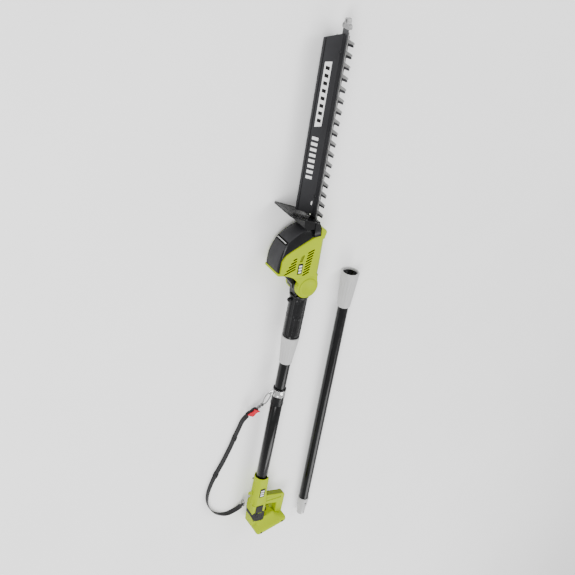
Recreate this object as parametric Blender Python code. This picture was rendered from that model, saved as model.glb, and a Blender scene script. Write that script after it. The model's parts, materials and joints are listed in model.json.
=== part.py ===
"""Cordless pole hedge trimmer: hinged cutting head, pole with rear handle, shoulder strap and a loose extension tube.

The trimmer lies on its side on the floor. Lengths below are millimetres; shapes are scaled to metres when built.
In the tool's frame the pole runs along X, the head's pivot is the origin, Y points to the strap's side and Z is up.
"""

import math

import bmesh
import bpy
from mathutils import Vector

MM = 0.001
GAP = 0.3

# Where the pivot stands once the whole tool is centred on the floor.
PIVOT_HEIGHT = 47.1
PIVOT_X = 115.46
PIVOT_Y = 61

# Pole and its fittings: stations along X, and radii.
POLE_FRONT, POLE_REAR, POLE_RADIUS, POLE_WALL = -205, -735, 16.5, 1.5
SLEEVE_FRONT, SLEEVE_REAR, SLEEVE_RADIUS = -417, -703, 18
CLAMP_FRONT, CLAMP_REAR, CLAMP_RADIUS = -357, -416.5, 19.5
BAND_FRONT, BAND_REAR, BAND_RADIUS = -361.5, -384.5, 20
COLLAR_FRONT, COLLAR_REAR = -175.6, -266
GRIP_FRONT, GRIP_REAR, GRIP_RADIUS, FLANGE_RADIUS = -34.2, -175, 25.5, 28
BORE = POLE_RADIUS + GAP

# Cutting head, in its own frame, turned a little about the pivot.
HEAD_TILT = math.radians(1.83)
HEAD_DEPTH = 36
KNUCKLE_RADIUS, EAR_INNER, EAR_OUTER = 33.5, 16.6, 31
TONGUE_HALF = 16
BLADE_START, BLADE_END, LOWER_BLADE_END, SPINE_HALF = 112, 690, 682.5, 12
TOOTH_COUNT, TOOTH_PITCH, FIRST_TOOTH = 17, 28.1, 221
BOLTS = (260, 640)
TOOTH_REACH, SHORT_TOOTH_REACH, BLADE_OFFSET = 39, 34, 7.5
LOWER_BLADE, UPPER_BLADE, BAR = (-5.4, -3.2), (-2.9, -0.7), (-0.4, 2.6)
GUARD_HALF, GUARD_BASE, GUARD_TIP, GUARD_THICK = 47, (200, 3), (231, 101), 4
GEAR_X, GEAR_RADIUS, PINION_RADIUS = 118, 20, 7
MOTOR_X = GEAR_X - GEAR_RADIUS - PINION_RADIUS - GAP

# Rear handle.
TRUNK_HALF, ARM_HALF, CORE_HALF, FOOT_HALF = 21, 12, 18, 43
DOCK_TILT = math.atan2(34, 96)

# Loose extension tube: its rim and plug lie on the floor beside the trimmer.
EXT_RIM = (-1, -180)
EXT_YAW, EXT_PITCH = math.radians(2.2), math.radians(-0.58)
EXT_LENGTH, EXT_RIM_RADIUS, EXT_TUBE_RADIUS, EXT_PLUG_RADIUS = 952, 27, 16, 13

# Strap: from its clip down to the floor, along it and up to the rear handle.
STRAP_HALF = 5
STRAP_ROUTE = [
    (-466, 73.5, -31), (-490, 84, -37), (-518, 91, -38.6), (-548, 99, -39.3), (-580, 107, -39.3),
    (-612, 117, -39.3), (-642, 127, -39.3), (-670, 138, -39.3), (-700, 149, -39.3), (-730, 157, -39.3),
    (-760, 161, -39.3), (-788, 159, -39.3), (-812, 151, -39.3), (-834, 138, -39.3), (-852, 120, -39.3),
    (-864, 98, -39.3), (-868, 76, -38.6), (-862, 57, -37), (-850, 45, -32), (-836, 38, -26),
]

FINISHES = {
    "lime_plastic": ((0.50, 0.58, 0.045), 0.42, 0.0),
    "black_plastic": ((0.012, 0.012, 0.013), 0.45, 0.0),
    "charcoal_plastic": ((0.055, 0.056, 0.06), 0.5, 0.0),
    "grey_plastic": ((0.62, 0.62, 0.61), 0.45, 0.0),
    "soft_rubber": ((0.035, 0.034, 0.036), 0.8, 0.0),
    "black_pole": ((0.01, 0.01, 0.011), 0.25, 0.0),
    "blade_steel": ((0.52, 0.52, 0.51), 0.32, 1.0),
    "dark_steel": ((0.16, 0.16, 0.17), 0.4, 1.0),
    "bright_metal": ((0.75, 0.75, 0.74), 0.25, 1.0),
    "cast_alloy": ((0.5, 0.5, 0.5), 0.5, 1.0),
    "badge_plate": ((0.7, 0.7, 0.7), 0.4, 0.0),
    "red_plastic": ((0.62, 0.05, 0.06), 0.4, 0.0),
    "strap_webbing": ((0.015, 0.015, 0.016), 0.9, 0.0),
    "circuit_board": ((0.02, 0.12, 0.05), 0.5, 0.0),
    "copper_cable": ((0.03, 0.03, 0.03), 0.6, 0.0),
}


def clear_scene():
    for obj in list(bpy.data.objects):
        bpy.data.objects.remove(obj, do_unlink=True)


def frame(name, parent, place=(0, 0, 0), turn=(0, 0, 0)):
    """An empty that carries a group of pieces."""
    empty = bpy.data.objects.new(name, None)
    bpy.context.scene.collection.objects.link(empty)
    empty.parent = parent
    empty.location = Vector(place) * MM
    empty.rotation_euler = turn
    return empty


def paint(obj, finish):
    colour, roughness, metallic = FINISHES[finish]
    material = bpy.data.materials.new(f"{obj.name}_{finish}")
    material.use_nodes = True
    shader = material.node_tree.nodes["Principled BSDF"]
    shader.inputs["Base Color"].default_value = (*colour, 1)
    shader.inputs["Roughness"].default_value = roughness
    shader.inputs["Metallic"].default_value = metallic
    material.diffuse_color = (*colour, 1)
    obj.data.materials.append(material)


def piece(name, mesh_maker, parent, finish, origin=(0, 0, 0)):
    """A node whose mesh_maker fills a bmesh in millimetres, with its origin moved to a joint's axis."""
    shape = bmesh.new()
    mesh_maker(shape)
    bmesh.ops.translate(shape, verts=shape.verts, vec=-Vector(origin))
    bmesh.ops.scale(shape, verts=shape.verts, vec=(MM, MM, MM))
    bmesh.ops.recalc_face_normals(shape, faces=shape.faces)
    mesh = bpy.data.meshes.new(name)
    shape.to_mesh(mesh)
    shape.free()
    mesh.shade_smooth()
    mesh.set_sharp_from_angle(angle=math.radians(35))
    obj = bpy.data.objects.new(name, mesh)
    bpy.context.scene.collection.objects.link(obj)
    obj.parent = parent
    obj.location = Vector(origin) * MM
    if finish:
        paint(obj, finish)
    return obj


def prism_maker(outline, low, high, plane="XY"):
    """Extrudes a closed outline across its plane, from low to high."""
    place = {
        "XY": lambda a, b, c: (a, b, c),
        "XZ": lambda a, b, c: (a, c, b),
        "YZ": lambda a, b, c: (c, a, b),
    }[plane]

    def make(shape):
        rings = [[shape.verts.new(place(a, b, level)) for a, b in outline] for level in (low, high)]
        shape.faces.new(rings[0])
        shape.faces.new(rings[1][::-1])
        count = len(outline)
        for i in range(count):
            j = (i + 1) % count
            shape.faces.new((rings[0][j], rings[0][i], rings[1][i], rings[1][j]))

    return make


def prism(name, outline, low, high, parent, finish, plane="XY", origin=(0, 0, 0), bevel=0.0):
    obj = piece(name, prism_maker(outline, low, high, plane), parent, finish, origin)
    if bevel:
        round_edges(obj, bevel)
    return obj


def box(name, x, y, z, parent, finish, origin=(0, 0, 0), bevel=0.0):
    outline = [(x[0], y[0]), (x[1], y[0]), (x[1], y[1]), (x[0], y[1])]
    return prism(name, outline, z[0], z[1], parent, finish, "XY", origin, bevel)


def lathe_maker(profile, sides, axis, centre):
    """Turns a closed profile of (station, radius) about an axis through centre; radius 0 closes an end."""
    spin = {
        "X": lambda s, a, b: (s, a, b),
        "Y": lambda s, a, b: (b, s, a),
        "Z": lambda s, a, b: (a, b, s),
    }[axis]

    def make(shape):
        rings = []
        for station, radius in profile:
            steps = range(sides) if radius else (0,)
            angles = [2 * math.pi * step / sides for step in steps]
            points = [spin(station, radius * math.cos(a), radius * math.sin(a)) for a in angles]
            rings.append([shape.verts.new(Vector(point) + Vector(centre)) for point in points])
        closed = len(profile) if all(radius for _, radius in profile) else len(profile) - 1
        for k in range(closed):
            first, second = rings[k], rings[(k + 1) % len(rings)]
            for i in range(sides):
                j = (i + 1) % sides
                corners = [first[i % len(first)], first[j % len(first)]]
                corners += [second[j % len(second)], second[i % len(second)]]
                unique = [v for n, v in enumerate(corners) if v not in corners[:n]]
                if len(unique) > 2:
                    shape.faces.new(unique)

    return make


def lathe(name, profile, parent, finish, sides=28, axis="X", centre=(0, 0, 0), origin=(0, 0, 0)):
    return piece(name, lathe_maker(profile, sides, axis, centre), parent, finish, origin)


def tube(name, ends, radii, parent, finish, sides=28, axis="X", centre=(0, 0, 0), origin=(0, 0, 0)):
    """A straight tube between two stations, with outer and inner radius."""
    outer, inner = radii
    profile = [(ends[0], outer), (ends[1], outer), (ends[1], inner), (ends[0], inner)]
    return lathe(name, profile, parent, finish, sides, axis, centre, origin)


def rod(name, ends, radius, parent, finish, sides=20, axis="X", centre=(0, 0, 0), origin=(0, 0, 0)):
    profile = [(ends[0], 0), (ends[0], radius), (ends[1], radius), (ends[1], 0)]
    return lathe(name, profile, parent, finish, sides, axis, centre, origin)


def wire(name, points, radius, parent, finish, resolution=2):
    """A round wire or cord along a smooth run of points."""
    curve = bpy.data.curves.new(name, "CURVE")
    curve.dimensions = "3D"
    curve.bevel_depth = radius * MM
    curve.bevel_resolution = resolution
    curve.use_fill_caps = True
    spline = curve.splines.new("POLY")
    spline.points.add(len(points) - 1)
    for spot, point in zip(spline.points, points):
        spot.co = (*(Vector(point) * MM), 1)
    obj = bpy.data.objects.new(name, curve)
    bpy.context.scene.collection.objects.link(obj)
    obj.parent = parent
    paint(obj, finish)
    return obj


def smooth_run(points, step):
    """Points every step along a Catmull-Rom curve through the given points."""
    route = [Vector(point) for point in points]
    route = [2 * route[0] - route[1]] + route + [2 * route[-1] - route[-2]]
    run = [route[1]]
    for a, b, c, d in zip(route, route[1:], route[2:], route[3:]):
        pieces = max(1, round((c - b).length / step))
        for k in range(1, pieces + 1):
            t = k / pieces
            run.append(0.5 * (2 * b + (c - a) * t + (2 * a - 5 * b + 4 * c - d) * t * t
                              + (3 * b - a - 3 * c + d) * t**3))
    return run


def round_edges(obj, width, segments=1, angle=30):
    bevel = obj.modifiers.new("Edges", "BEVEL")
    bevel.width = width * MM
    bevel.segments = segments
    bevel.limit_method = "ANGLE"
    bevel.angle_limit = math.radians(angle)


def combine(obj, others, operation):
    """Boolean with helper solids, which stay in the file as hidden wires."""
    for other in others:
        other.hide_render = True
        other.display_type = "WIRE"
        step = obj.modifiers.new(other.name, "BOOLEAN")
        step.operation = operation
        step.object = other
    return obj


def cut(obj, *cutters):
    return combine(obj, cutters, "DIFFERENCE")


def join(obj, *others):
    return combine(obj, others, "UNION")


def mirrored(outline):
    """The outline followed by its mirror image across the first axis, going back."""
    return outline + [(a, -b) for a, b in reversed(outline)]


def arc(centre, radius, start, end, steps):
    """Points along an arc, angles in degrees."""
    angles = [math.radians(start + (end - start) * k / steps) for k in range(steps + 1)]
    return [(centre[0] + radius * math.cos(a), centre[1] + radius * math.sin(a)) for a in angles]


def make_pole(tool):
    tube("pole_tube", (POLE_FRONT, POLE_REAR), (POLE_RADIUS, POLE_RADIUS - POLE_WALL), tool, "black_pole")
    tube("pole_sleeve", (SLEEVE_FRONT, SLEEVE_REAR), (SLEEVE_RADIUS, BORE), tool, "black_pole")
    wire("power_cable", [(x, 0, 0) for x in (-262, -400, -560, -735)], 3, tool, "copper_cable")
    rod("pole_socket", (-246, -261), POLE_RADIUS - POLE_WALL - GAP, tool, "black_plastic")


def make_strap_clamp(tool):
    """A plastic sleeve round the pole, with a metal band in its groove that carries the strap's lug."""
    groove = BAND_RADIUS - 1.8
    profile = [(CLAMP_FRONT, BORE), (CLAMP_FRONT, CLAMP_RADIUS), (BAND_FRONT + GAP, CLAMP_RADIUS)]
    profile += [(BAND_FRONT + GAP, groove), (BAND_REAR - GAP, groove)]
    profile += [(BAND_REAR - GAP, CLAMP_RADIUS), (CLAMP_REAR, CLAMP_RADIUS), (CLAMP_REAR, BORE)]
    lathe("strap_clamp", profile, tool, "black_plastic")
    band = tube("clamp_band", (BAND_FRONT, BAND_REAR), (BAND_RADIUS, groove + GAP), tool, "bright_metal")
    lug_end = 36
    lug = prism("clamp_lug_plate", [(-379, 19.2), (-379, 31), (-375, lug_end), (-367, lug_end), (-363, 31), (-363, 19.2)],
                -1.5, 1.5, tool, None)
    hole = rod("clamp_lug_hole", (-6, 6), 4.5, tool, None, 16, "Z", (-371, 29, 0))
    cut(join(band, lug), hole)



def half_space(name, side, reach, parent):
    """A block that removes everything on the other side of the split plane, less half the gap."""
    low, high = sorted((side * GAP / 2, -side * 60))
    return box(name, (reach[0], reach[1]), (-150, 150), (low, high), parent, None)


def handle_shapes(tag, tool):
    """The rear handle's outer form: trunk, grip core, guard loop and foot."""
    trunk = [(-698, -17), (-698, 21), (-750, 23.5), (-807, 26), (-812, 25), (-812, -25), (-807, -28), (-752, -20)]
    core = [(-804, -23), (-804, 24), (-888, 21), (-888, -27)]
    loop = [(-778, -10), (-780, -22), (-790, -88), (-794, -96), (-803, -100), (-884, -99), (-884, -72)]
    loop += [(-826, -71), (-821, -66), (-819, -30), (-816, -10)]
    foot = [(-872, 22), (-898, 19), (-916, -8), (-882, -104), (-866, -104)]
    forms = (("trunk", trunk, TRUNK_HALF, 4), ("core", core, CORE_HALF, 3), ("loop", loop, ARM_HALF, 3),
             ("foot", foot, FOOT_HALF, 6))
    return [prism(f"{name}_form_{tag}", outline, -half, half, tool, None, "XY", (0, 0, 0), chamfer)
            for name, outline, half, chamfer in forms]


def handle_cutters(tool):
    """Hollows of the rear handle: pole seat, wiring space, battery dock and trigger opening."""
    seat = rod("pole_seat_cut", (-690, -738), BORE, tool, None, 28)
    mouth = rod("gland_cut", (-690, -718), 18.6, tool, None, 28)
    wiring = box("wiring_cut", (-876, -734), (-17, 16), (-14, 14), tool, None)
    dock_frame = frame("dock_frame", tool, (-900, -50, 0), (0, 0, DOCK_TILT))
    dock = box("dock_cut", (-12, 20), (-36, 36), (-24, 24), dock_frame, None)
    cable_way = box("dock_wiring_cut", (-892, -870), (-16, 4), (-8, 8), tool, None)
    trigger = box("trigger_cut", (-860, -834), (-40, -10), (-5.5, 5.5), tool, None)
    button = rod("lock_off_cut", (-30, 30), 6.3, tool, None, 20, "Z", (-845, 4, 0))
    return [seat, mouth, wiring, dock, cable_way, trigger, button]


def make_rear_handle(tool):
    cutters = handle_cutters(tool)
    for tag, side in (("near", 1), ("far", -1)):
        trunk, *others = handle_shapes(tag, tool)
        trunk.name = f"rear_housing_{tag}"
        paint(trunk, "lime_plastic")
        cut(join(trunk, *others), half_space(f"handle_split_{tag}", side, (-1000, -600), tool), *cutters)
    outline = [(-808, -28.5), (-808, 27.5), (-884, 24.5), (-888, -29), (-884, -31)]
    core = [(-800, -23 - GAP), (-800, 24 + GAP), (-895, 21.4), (-895, -27.4)]
    wrap = prism("grip_overmould", outline, -21.5, 21.5, tool, "soft_rubber", "XY", (0, 0, 0), 5)
    hollow = prism("overmould_cut", core, -CORE_HALF - GAP, CORE_HALF + GAP, tool, None)
    top = box("overmould_top_cut", (-813, -790), (-50, 40), (-30, 30), tool, None)
    arm = box("overmould_arm_cut", (-828, -790), (-50, -22), (-30, 30), tool, None)
    foot = prism("overmould_foot_cut", [(-871, 40), (-865, -45), (-910, -45), (-910, 40)],
                 -30, 30, tool, None)
    cut(wrap, hollow, top, arm, foot, *cutters[-2:])


def make_rear_controls(tool):
    """Trigger, lock-off button, switch, circuit board, dock contacts and small trim of the rear handle."""
    trigger = [(-836, -27), (-838, -37), (-846, -41), (-856, -42), (-858, -37), (-858, -27), (-855, -15), (-839, -15)]
    prism("trigger", trigger, -4.8, 4.8, tool, "black_plastic", "XY", (-836, -20, 0), 1)
    lathe("lock_off_button", [(14.5, 0), (14.5, 5.9), (23.5, 5.9), (24.5, 4.5), (24.5, 0)], tool, "lime_plastic", 18, "Z",
          (-845, 4, 0))
    box("switch_body", (-862, -832), (-7, 12), (-8, 8), tool, "black_plastic")
    box("control_board", (-822, -760), (-13, 13), (-1, 1), tool, "circuit_board")
    dock_frame = frame("contacts_frame", tool, (-900, -50, 0), (0, 0, DOCK_TILT))
    box("terminal_block", (10, 19.7), (-20, 20), (-16, 16), dock_frame, "black_plastic", bevel=1)
    tube("pole_gland", (-703.5, -717.5), (18.3, BORE), tool, "black_plastic")
    box("rear_badge", (-771, -737), (-9, 8), (TRUNK_HALF + GAP, TRUNK_HALF + 1.2), tool, "badge_plate", bevel=0.5)
    lug = prism("strap_lug", [(-756, 25.2), (-756, 33), (-760, 37), (-766, 37), (-770, 33), (-770, 25.9)], -2, 2, tool,
                "dark_steel")
    cut(lug, rod("strap_lug_hole", (-6, 6), 3.2, tool, None, 14, "Z", (-763, 31.5, 0)))
    for number, (x, y) in enumerate(((-724, 14), (-797, -90)), 1):
        depth = ARM_HALF if y < -50 else TRUNK_HALF
        screw = [(depth + GAP, 0), (depth + GAP, 3.2), (depth + 1.4, 3.2), (depth + 2, 2), (depth + 2, 0)]
        lathe(f"housing_screw_{number}", [(-s, r) for s, r in screw], tool, "dark_steel", 12, "Z", (x, y, 0))


def tapered_collar(name, stations, bore, parent):
    """A twist collar that tapers from its wide rim; bore lists the inner profile from the narrow end to the rim."""
    return lathe(name, stations + bore, parent, "grey_plastic", 32)


def make_head_section(tool):
    """The detachable front section: grip, inner tube, coupling plug and the yoke that carries the head."""
    tapered_collar("tool_collar", [(COLLAR_FRONT, 23.5), (COLLAR_FRONT - 3, 26), (-200, 25.5), (-258, 19.5), (COLLAR_REAR, 18.5)],
                   [(COLLAR_REAR, BORE), (-207, BORE), (-207, 21), (COLLAR_FRONT, 21)], tool)
    flange = [(GRIP_FRONT, FLANGE_RADIUS - 1.5), (GRIP_FRONT - 1.5, FLANGE_RADIUS), (-40, FLANGE_RADIUS), (-43, GRIP_RADIUS)]
    rear = [(GRIP_REAR + 2, GRIP_RADIUS), (GRIP_REAR, GRIP_RADIUS - 2), (GRIP_REAR, BORE), (GRIP_FRONT, BORE)]
    grip = lathe("front_grip", flange + rear, tool, "black_plastic", 32)
    boss = [(20, 0), (20, 5.5), (32, 6.5), (35, 5), (36, 0)]
    join(grip, lathe("grip_boss", boss, tool, None, 18, "Y", (-52, 0, 0)))
    tube("head_pole", (-36, -174), (POLE_RADIUS, POLE_RADIUS - POLE_WALL), tool, "black_pole", 24)
    plug = [(-175.5, 20.5), (-183, 20.5), (-184, 17), (-204, 17), (-204.3, 14.5), (-236, 14.5), (-244, 12.5)]
    plug += [(-244, 6), (-165, 6), (-165, 14.6), (-175.5, 14.6)]
    lathe("section_plug", plug, tool, "grey_plastic", 24)
    make_yoke(tool)


def make_yoke(tool):
    neck = tube("yoke", (-60, -20), (14.6, 8), tool, "black_plastic")
    tongue = arc((0, 0), 29, -112, 112, 20)
    plate = prism("yoke_tongue", tongue + [(-33.6, 24), (-33.6, -24)], -TONGUE_HALF, TONGUE_HALF, tool, None)
    pin_hole = rod("yoke_pin_hole", (-40, 40), 6.3, tool, None, 20, "Z")
    cut(join(neck, plate), pin_hole)
    pin = [(-EAR_OUTER + 3, 0), (-EAR_OUTER + 3, 5.2), (-EAR_OUTER + 4, 6), (EAR_OUTER - 4, 6), (EAR_OUTER - 3, 5.2)]
    lathe("pivot_pin", pin + [(EAR_OUTER - 3, 0)], tool, "dark_steel", 20, "Z")


def head_outline():
    """The lime housing's side view: nose, slope under the cover, back and neck."""
    nose = [(30, -25), (145, -24), (168, -29), (174, -26), (183.5, -9), (183.5, -2), (161, -1)]
    slope = [(147, 27), (122, 74), (113, 89), (96, 99), (60, 100)]
    neck = [(49, 80), (44, 65), (36, 50), (36, 0)]
    return nose + slope + neck


def make_head_housing(head):
    """Two lime shells that meet on the head's middle plane; ears at the back straddle the yoke."""
    hollow = [(46, -19), (144, -18), (164, -22), (168, -14), (158, -6), (143, 22), (117, 70), (109, 83), (94, 92), (64, 92), (55, 76), (46, 56)]
    ear_outline = arc((0, 0), KNUCKLE_RADIUS, 62, 298, 20) + [(40, -25), (52, -20), (52, 50), (40, 56)]
    for tag, side in (("near", 1), ("far", -1)):
        shell = prism(f"head_housing_{tag}", head_outline(), -HEAD_DEPTH, HEAD_DEPTH, head, "lime_plastic", "XY", (0, 0, 0), 3)
        ear = prism(f"ear_{tag}", ear_outline, -EAR_OUTER, EAR_OUTER, head, None, "XY", (0, 0, 0), 1.5)
        yoke_room = box(f"yoke_room_{tag}", (-50, 36), (-60, 60), (-EAR_INNER, EAR_INNER), head, None)
        space = prism(f"head_space_{tag}", hollow, -EAR_OUTER, EAR_OUTER, head, None)
        channel = box(f"blade_channel_{tag}", (92, 210), (-7.2, 4.4), (-20, 20), head, None)
        pin_hole = rod(f"ear_pin_hole_{tag}", (-EAR_OUTER + 2.7, EAR_OUTER - 2.7), 6.3, head, None, 20, "Z")
        split = half_space(f"head_split_{tag}", side, (-60, 220), head)
        cut(join(shell, ear), split, yoke_room, space, channel, pin_hole)
        step = [(EAR_OUTER + GAP, 0), (EAR_OUTER + GAP, 27), (EAR_OUTER + 1.6, 27), (EAR_OUTER + 3, 25)]
        step += [(EAR_OUTER + 3, 20), (EAR_OUTER + 2, 18.5), (EAR_OUTER + 2, 0)]
        lathe(f"knuckle_cap_{tag}", [(side * s, r) for s, r in step], head, "lime_plastic", 32, "Z")


def make_cover(head):
    """The dark cover that wraps the front of the head, hollow behind, with a metal trim strip in a recess."""
    inner = [(162, 5), (148, 28), (123, 75), (114, 90), (97, 100.5), (60, 101.5)]
    outer = [(54, 104), (64, 108), (98, 105), (134, 95), (155, 79), (176, 50), (182, 24), (181, 10), (176, 5)]
    cover = prism("motor_cover", inner + outer, -33, 33, head, "charcoal_plastic", "XY", (0, 0, 0), 3)
    space = [(112, 84), (121, 68), (145, 24), (158, 2), (168, 8), (175, 26), (171, 46), (151, 74), (132, 90), (122, 95)]
    hollow = prism("cover_space", space, -28, 28, head, None)
    centre, direction = Vector((143, 87, 0)), Vector((0.62, -0.78, 0))
    outward = Vector((0.61, 0.79, 0))
    groove = strip("cover_groove", centre + outward * 0.5, outward, direction, (3, 4, 26), head)
    cut(cover, hollow, groove)
    trim = strip("cover_trim", centre - outward * 0.1, outward, direction, (1.0, 1.6, 22), head)
    paint(trim, "bright_metal")


def strip(name, centre, normal, across, halves, parent):
    """A small block across the head: half sizes along its normal, along the side view and along Z."""
    out, side = normal.normalized(), across.normalized()
    corners = [(-1, -1), (1, -1), (1, 1), (-1, 1)]
    outline = [(centre + out * a * halves[0] + side * b * halves[1])[:2] for a, b in corners]
    return prism(name, outline, -halves[2], halves[2], parent, None)


def make_guard(head):
    """The hand guard: a leaning plate in front of the head, with a foot that wraps the nose."""
    (x0, y0), (x1, y1) = GUARD_BASE, GUARD_TIP
    plate = [(x0 - 6, y0 + 1), (x0 + 2, y0), (x1 + 2, y1 - 1), (x1 - 2, y1)]
    plan = [(y0 - 2, -36), (y0 + 12, -GUARD_HALF), (y1 - 8, -GUARD_HALF), (y1, -GUARD_HALF + 8)]
    plan += [(y, -z) for y, z in reversed(plan)]
    guard = prism("hand_guard", plate, -GUARD_HALF, GUARD_HALF, head, "black_plastic")
    shape = prism("guard_plan", [(y, z) for y, z in plan], 150, 250, head, None, "YZ")
    combine(guard, [shape], "INTERSECT")
    foot = prism("guard_foot", [(184.5, 5), (203, 5), (203, 10), (194, 14), (184.5, 13)], -40, 40, head, None)
    skirt = prism("guard_skirt", [(164, -6), (184, -4), (203, 4), (203, 9), (164, 9)], -40, 40, head, None)
    nose_room = box("guard_nose_room", (150, 184.4), (-40, 20), (-36.6, 36.6), head, None)
    cut(skirt, nose_room)
    window = box("guard_window", (183, 215), (-10, 9.5), (-15.5, 15.5), head, None)
    cut(join(guard, foot, skirt), window)


def gear_outline(centre, radius, depth, teeth):
    """A plain toothed wheel: a land and a root for each tooth."""
    outline = []
    for tooth in range(teeth):
        for part, reach in ((0.1, radius - depth), (0.35, radius), (0.6, radius), (0.85, radius - depth)):
            angle = 2 * math.pi * (tooth + part) / teeth
            outline.append((centre + reach * math.cos(angle), reach * math.sin(angle)))
    return outline


def make_drive(head):
    """Motor, pinion, gear and crank above the blades' rear ends."""
    case = box("gearcase", (79, 141), (4.8, 21), (-25, 25), head, "cast_alloy", bevel=2)
    room = rod("gear_room", (-6, 13), GEAR_RADIUS + 1.2, head, None, 28, "Y", (GEAR_X, 0, 0))
    pinion_room = rod("pinion_room", (-6, 30), PINION_RADIUS + 1.2, head, None, 20, "Y", (MOTOR_X, 0, 0))
    cut(case, room, pinion_room)
    prism("drive_gear", gear_outline(GEAR_X, GEAR_RADIUS, 1.8, 30), 5.4, 11.5, head, "dark_steel", "XZ", (GEAR_X, 8, 0))
    rod("crank_cam", (-0.3, 5.1), 5, head, "dark_steel", 18, "Y", (GEAR_X + 6, 0, 0), (GEAR_X, 0, 0))
    prism("drive_pinion", gear_outline(MOTOR_X, PINION_RADIUS, 1.6, 11), 5.4, 11.5, head, "dark_steel", "XZ",
          (MOTOR_X, 8, 0))
    can = [(11.8, 0), (11.8, 2.5), (24, 2.5), (24, 17), (26, 19), (64, 19), (66, 17), (66, 7), (70, 7), (70, 0)]
    lathe("motor", can, head, "dark_steel", 28, "Y", (MOTOR_X, 0, 0))


def toothed_outline(first, end, reach, base, tip):
    """One blade seen from above: a spine with a tooth on both edges at every pitch."""
    upper = [(BLADE_START, SPINE_HALF)]
    for tooth in range(TOOTH_COUNT):
        middle = first + tooth * TOOTH_PITCH
        upper += [(middle - base, SPINE_HALF), (middle - tip, reach), (middle + tip, reach), (middle + base, SPINE_HALF)]
    upper += [(end, SPINE_HALF)]
    return mirrored(upper)


def make_blades(head):
    long_teeth = toothed_outline(FIRST_TOOTH, BLADE_END, TOOTH_REACH, 6.5, 2.2)
    short_teeth = toothed_outline(FIRST_TOOTH - BLADE_OFFSET, LOWER_BLADE_END, SHORT_TOOTH_REACH, 6, 2)
    prism("upper_blade", long_teeth, *UPPER_BLADE, head, "blade_steel", "XZ")
    prism("lower_blade", short_teeth, *LOWER_BLADE, head, "dark_steel", "XZ")
    bar = [(160, 9), (170, 11), (696, 11)]
    prism("blade_bar", mirrored(bar), *BAR, head, "blade_steel", "XZ")
    for number, x in enumerate(BOLTS, 1):
        top = BAR[1] + GAP
        bolt = [(top, 0), (top, 4), (top + 1.8, 4), (top + 2.4, 3), (top + 2.4, 0)]
        lathe(f"blade_bolt_{number}", bolt, head, "dark_steel", 12, "Y", (x, 0, -3.5))
    plan = [(696.4, 13), (703, 15), (708, 12), (712, 8), (719, 8), (722, 4)]
    tip = prism("tip_guard", mirrored(plan), -6.2, 4, head, "cast_alloy", "XZ", bevel=1)
    cut(tip, rod("tip_hole", (-12, 12), 4, head, None, 16, "Y", (714.5, 0, 0)))


def make_sweeper(head):
    """The clip-on sweeper: a thin wall along the blade that throws cuttings aside, with a lip on the blade bar."""
    lip = BAR[1] + 2 * GAP
    section = [(lip, 1), (lip, 8.5), (lip + 1.6, 8.5), (lip + 2.2, -1), (30, -4.4), (54, -5.2), (57, -7.5), (52, -9), (30, -7.6), (lip, -6.5), (lip, 1)]
    wall = prism("debris_sweeper", section[:-1], 224, 684, head, "charcoal_plastic", "YZ")
    pockets = [rod(f"bolt_pocket_{k}", (0, 8), 4.9, head, None, 14, "Y", (x, 0, -3.5)) for k, x in enumerate(BOLTS)]
    cut(wall, *pockets)


def make_head_trim(head):
    box("head_badge", (51, 83), (33, 47), (HEAD_DEPTH + GAP, HEAD_DEPTH + 1.2), head, "badge_plate", bevel=0.5)
    lever = [(44.5, 69), (40, 72), (33, 66), (8, 42), (-5, 39), (-5, 35.4), (10, 35.5), (26, 41), (35.6, 52), (43.4, 66)]
    prism("tilt_lever", lever, -14, 14, head, "black_plastic", "XY", (40, 66, 0), 1)
    for number, (x, y) in enumerate(((150, -14), (70, 91)), 1):
        screw = [(HEAD_DEPTH + GAP, 0), (HEAD_DEPTH + GAP, 3.2), (HEAD_DEPTH + 1.5, 3.2), (HEAD_DEPTH + 2, 2)]
        screw += [(HEAD_DEPTH + 2, 0)]
        lathe(f"head_screw_{number}", [(-s, r) for s, r in screw], head, "dark_steel", 12, "Z", (x, y, 0))


def make_extension(tool):
    """The loose extension tube, in a frame whose origin is the middle of its rim and whose X runs along it."""
    height = EXT_RIM_RADIUS + 0.1 - PIVOT_HEIGHT
    ext = frame("extension_frame", tool, (*EXT_RIM, height), (0, EXT_PITCH, EXT_YAW))
    stations = [(0, 25), (-3, EXT_RIM_RADIUS), (-10, EXT_RIM_RADIUS), (-100, 21), (-114, 19.5), (-116, 18.5)]
    bore = [(-116, EXT_TUBE_RADIUS + GAP), (-62, EXT_TUBE_RADIUS + GAP), (-62, 22), (0, 22)]
    tapered_collar("extension_collar", stations, bore, ext)
    liner = [(-6, 21.4), (-56, 21.4), (-56, 15), (-6, 19)]
    lathe("extension_socket", liner, ext, "grey_plastic", 28)
    rear = -EXT_LENGTH + 80
    tube("extension_tube", (-57, rear - 8), (EXT_TUBE_RADIUS, EXT_TUBE_RADIUS - POLE_WALL), ext, "black_pole", 28)
    plug = [(rear + 20, 8), (rear + 20, 13.9), (rear - 8.3, 13.9), (rear - 8.3, 18), (rear - 14, 18), (rear - 16, 15.5)]
    plug += [(rear - 44, 15), (rear - 46, EXT_PLUG_RADIUS), (-EXT_LENGTH, EXT_PLUG_RADIUS - 1), (-EXT_LENGTH, 8)]
    body = lathe("extension_plug", plug, ext, "grey_plastic", 28)
    button_x = rear - 27
    hole = rod("plug_button_hole", (5, 25), 3.3, ext, None, 14, "Z", (button_x, 0, 0))
    notch = box("plug_notch", (-EXT_LENGTH - 2, -EXT_LENGTH + 12), (-3, 3), (4, 20), ext, None)
    cut(body, hole, notch)
    dome = [(10, 0), (10, 3), (16, 3), (17.2, 2), (17.6, 0)]
    lathe("extension_button", dome, ext, "bright_metal", 14, "Z", (button_x, 0, 0))


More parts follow.
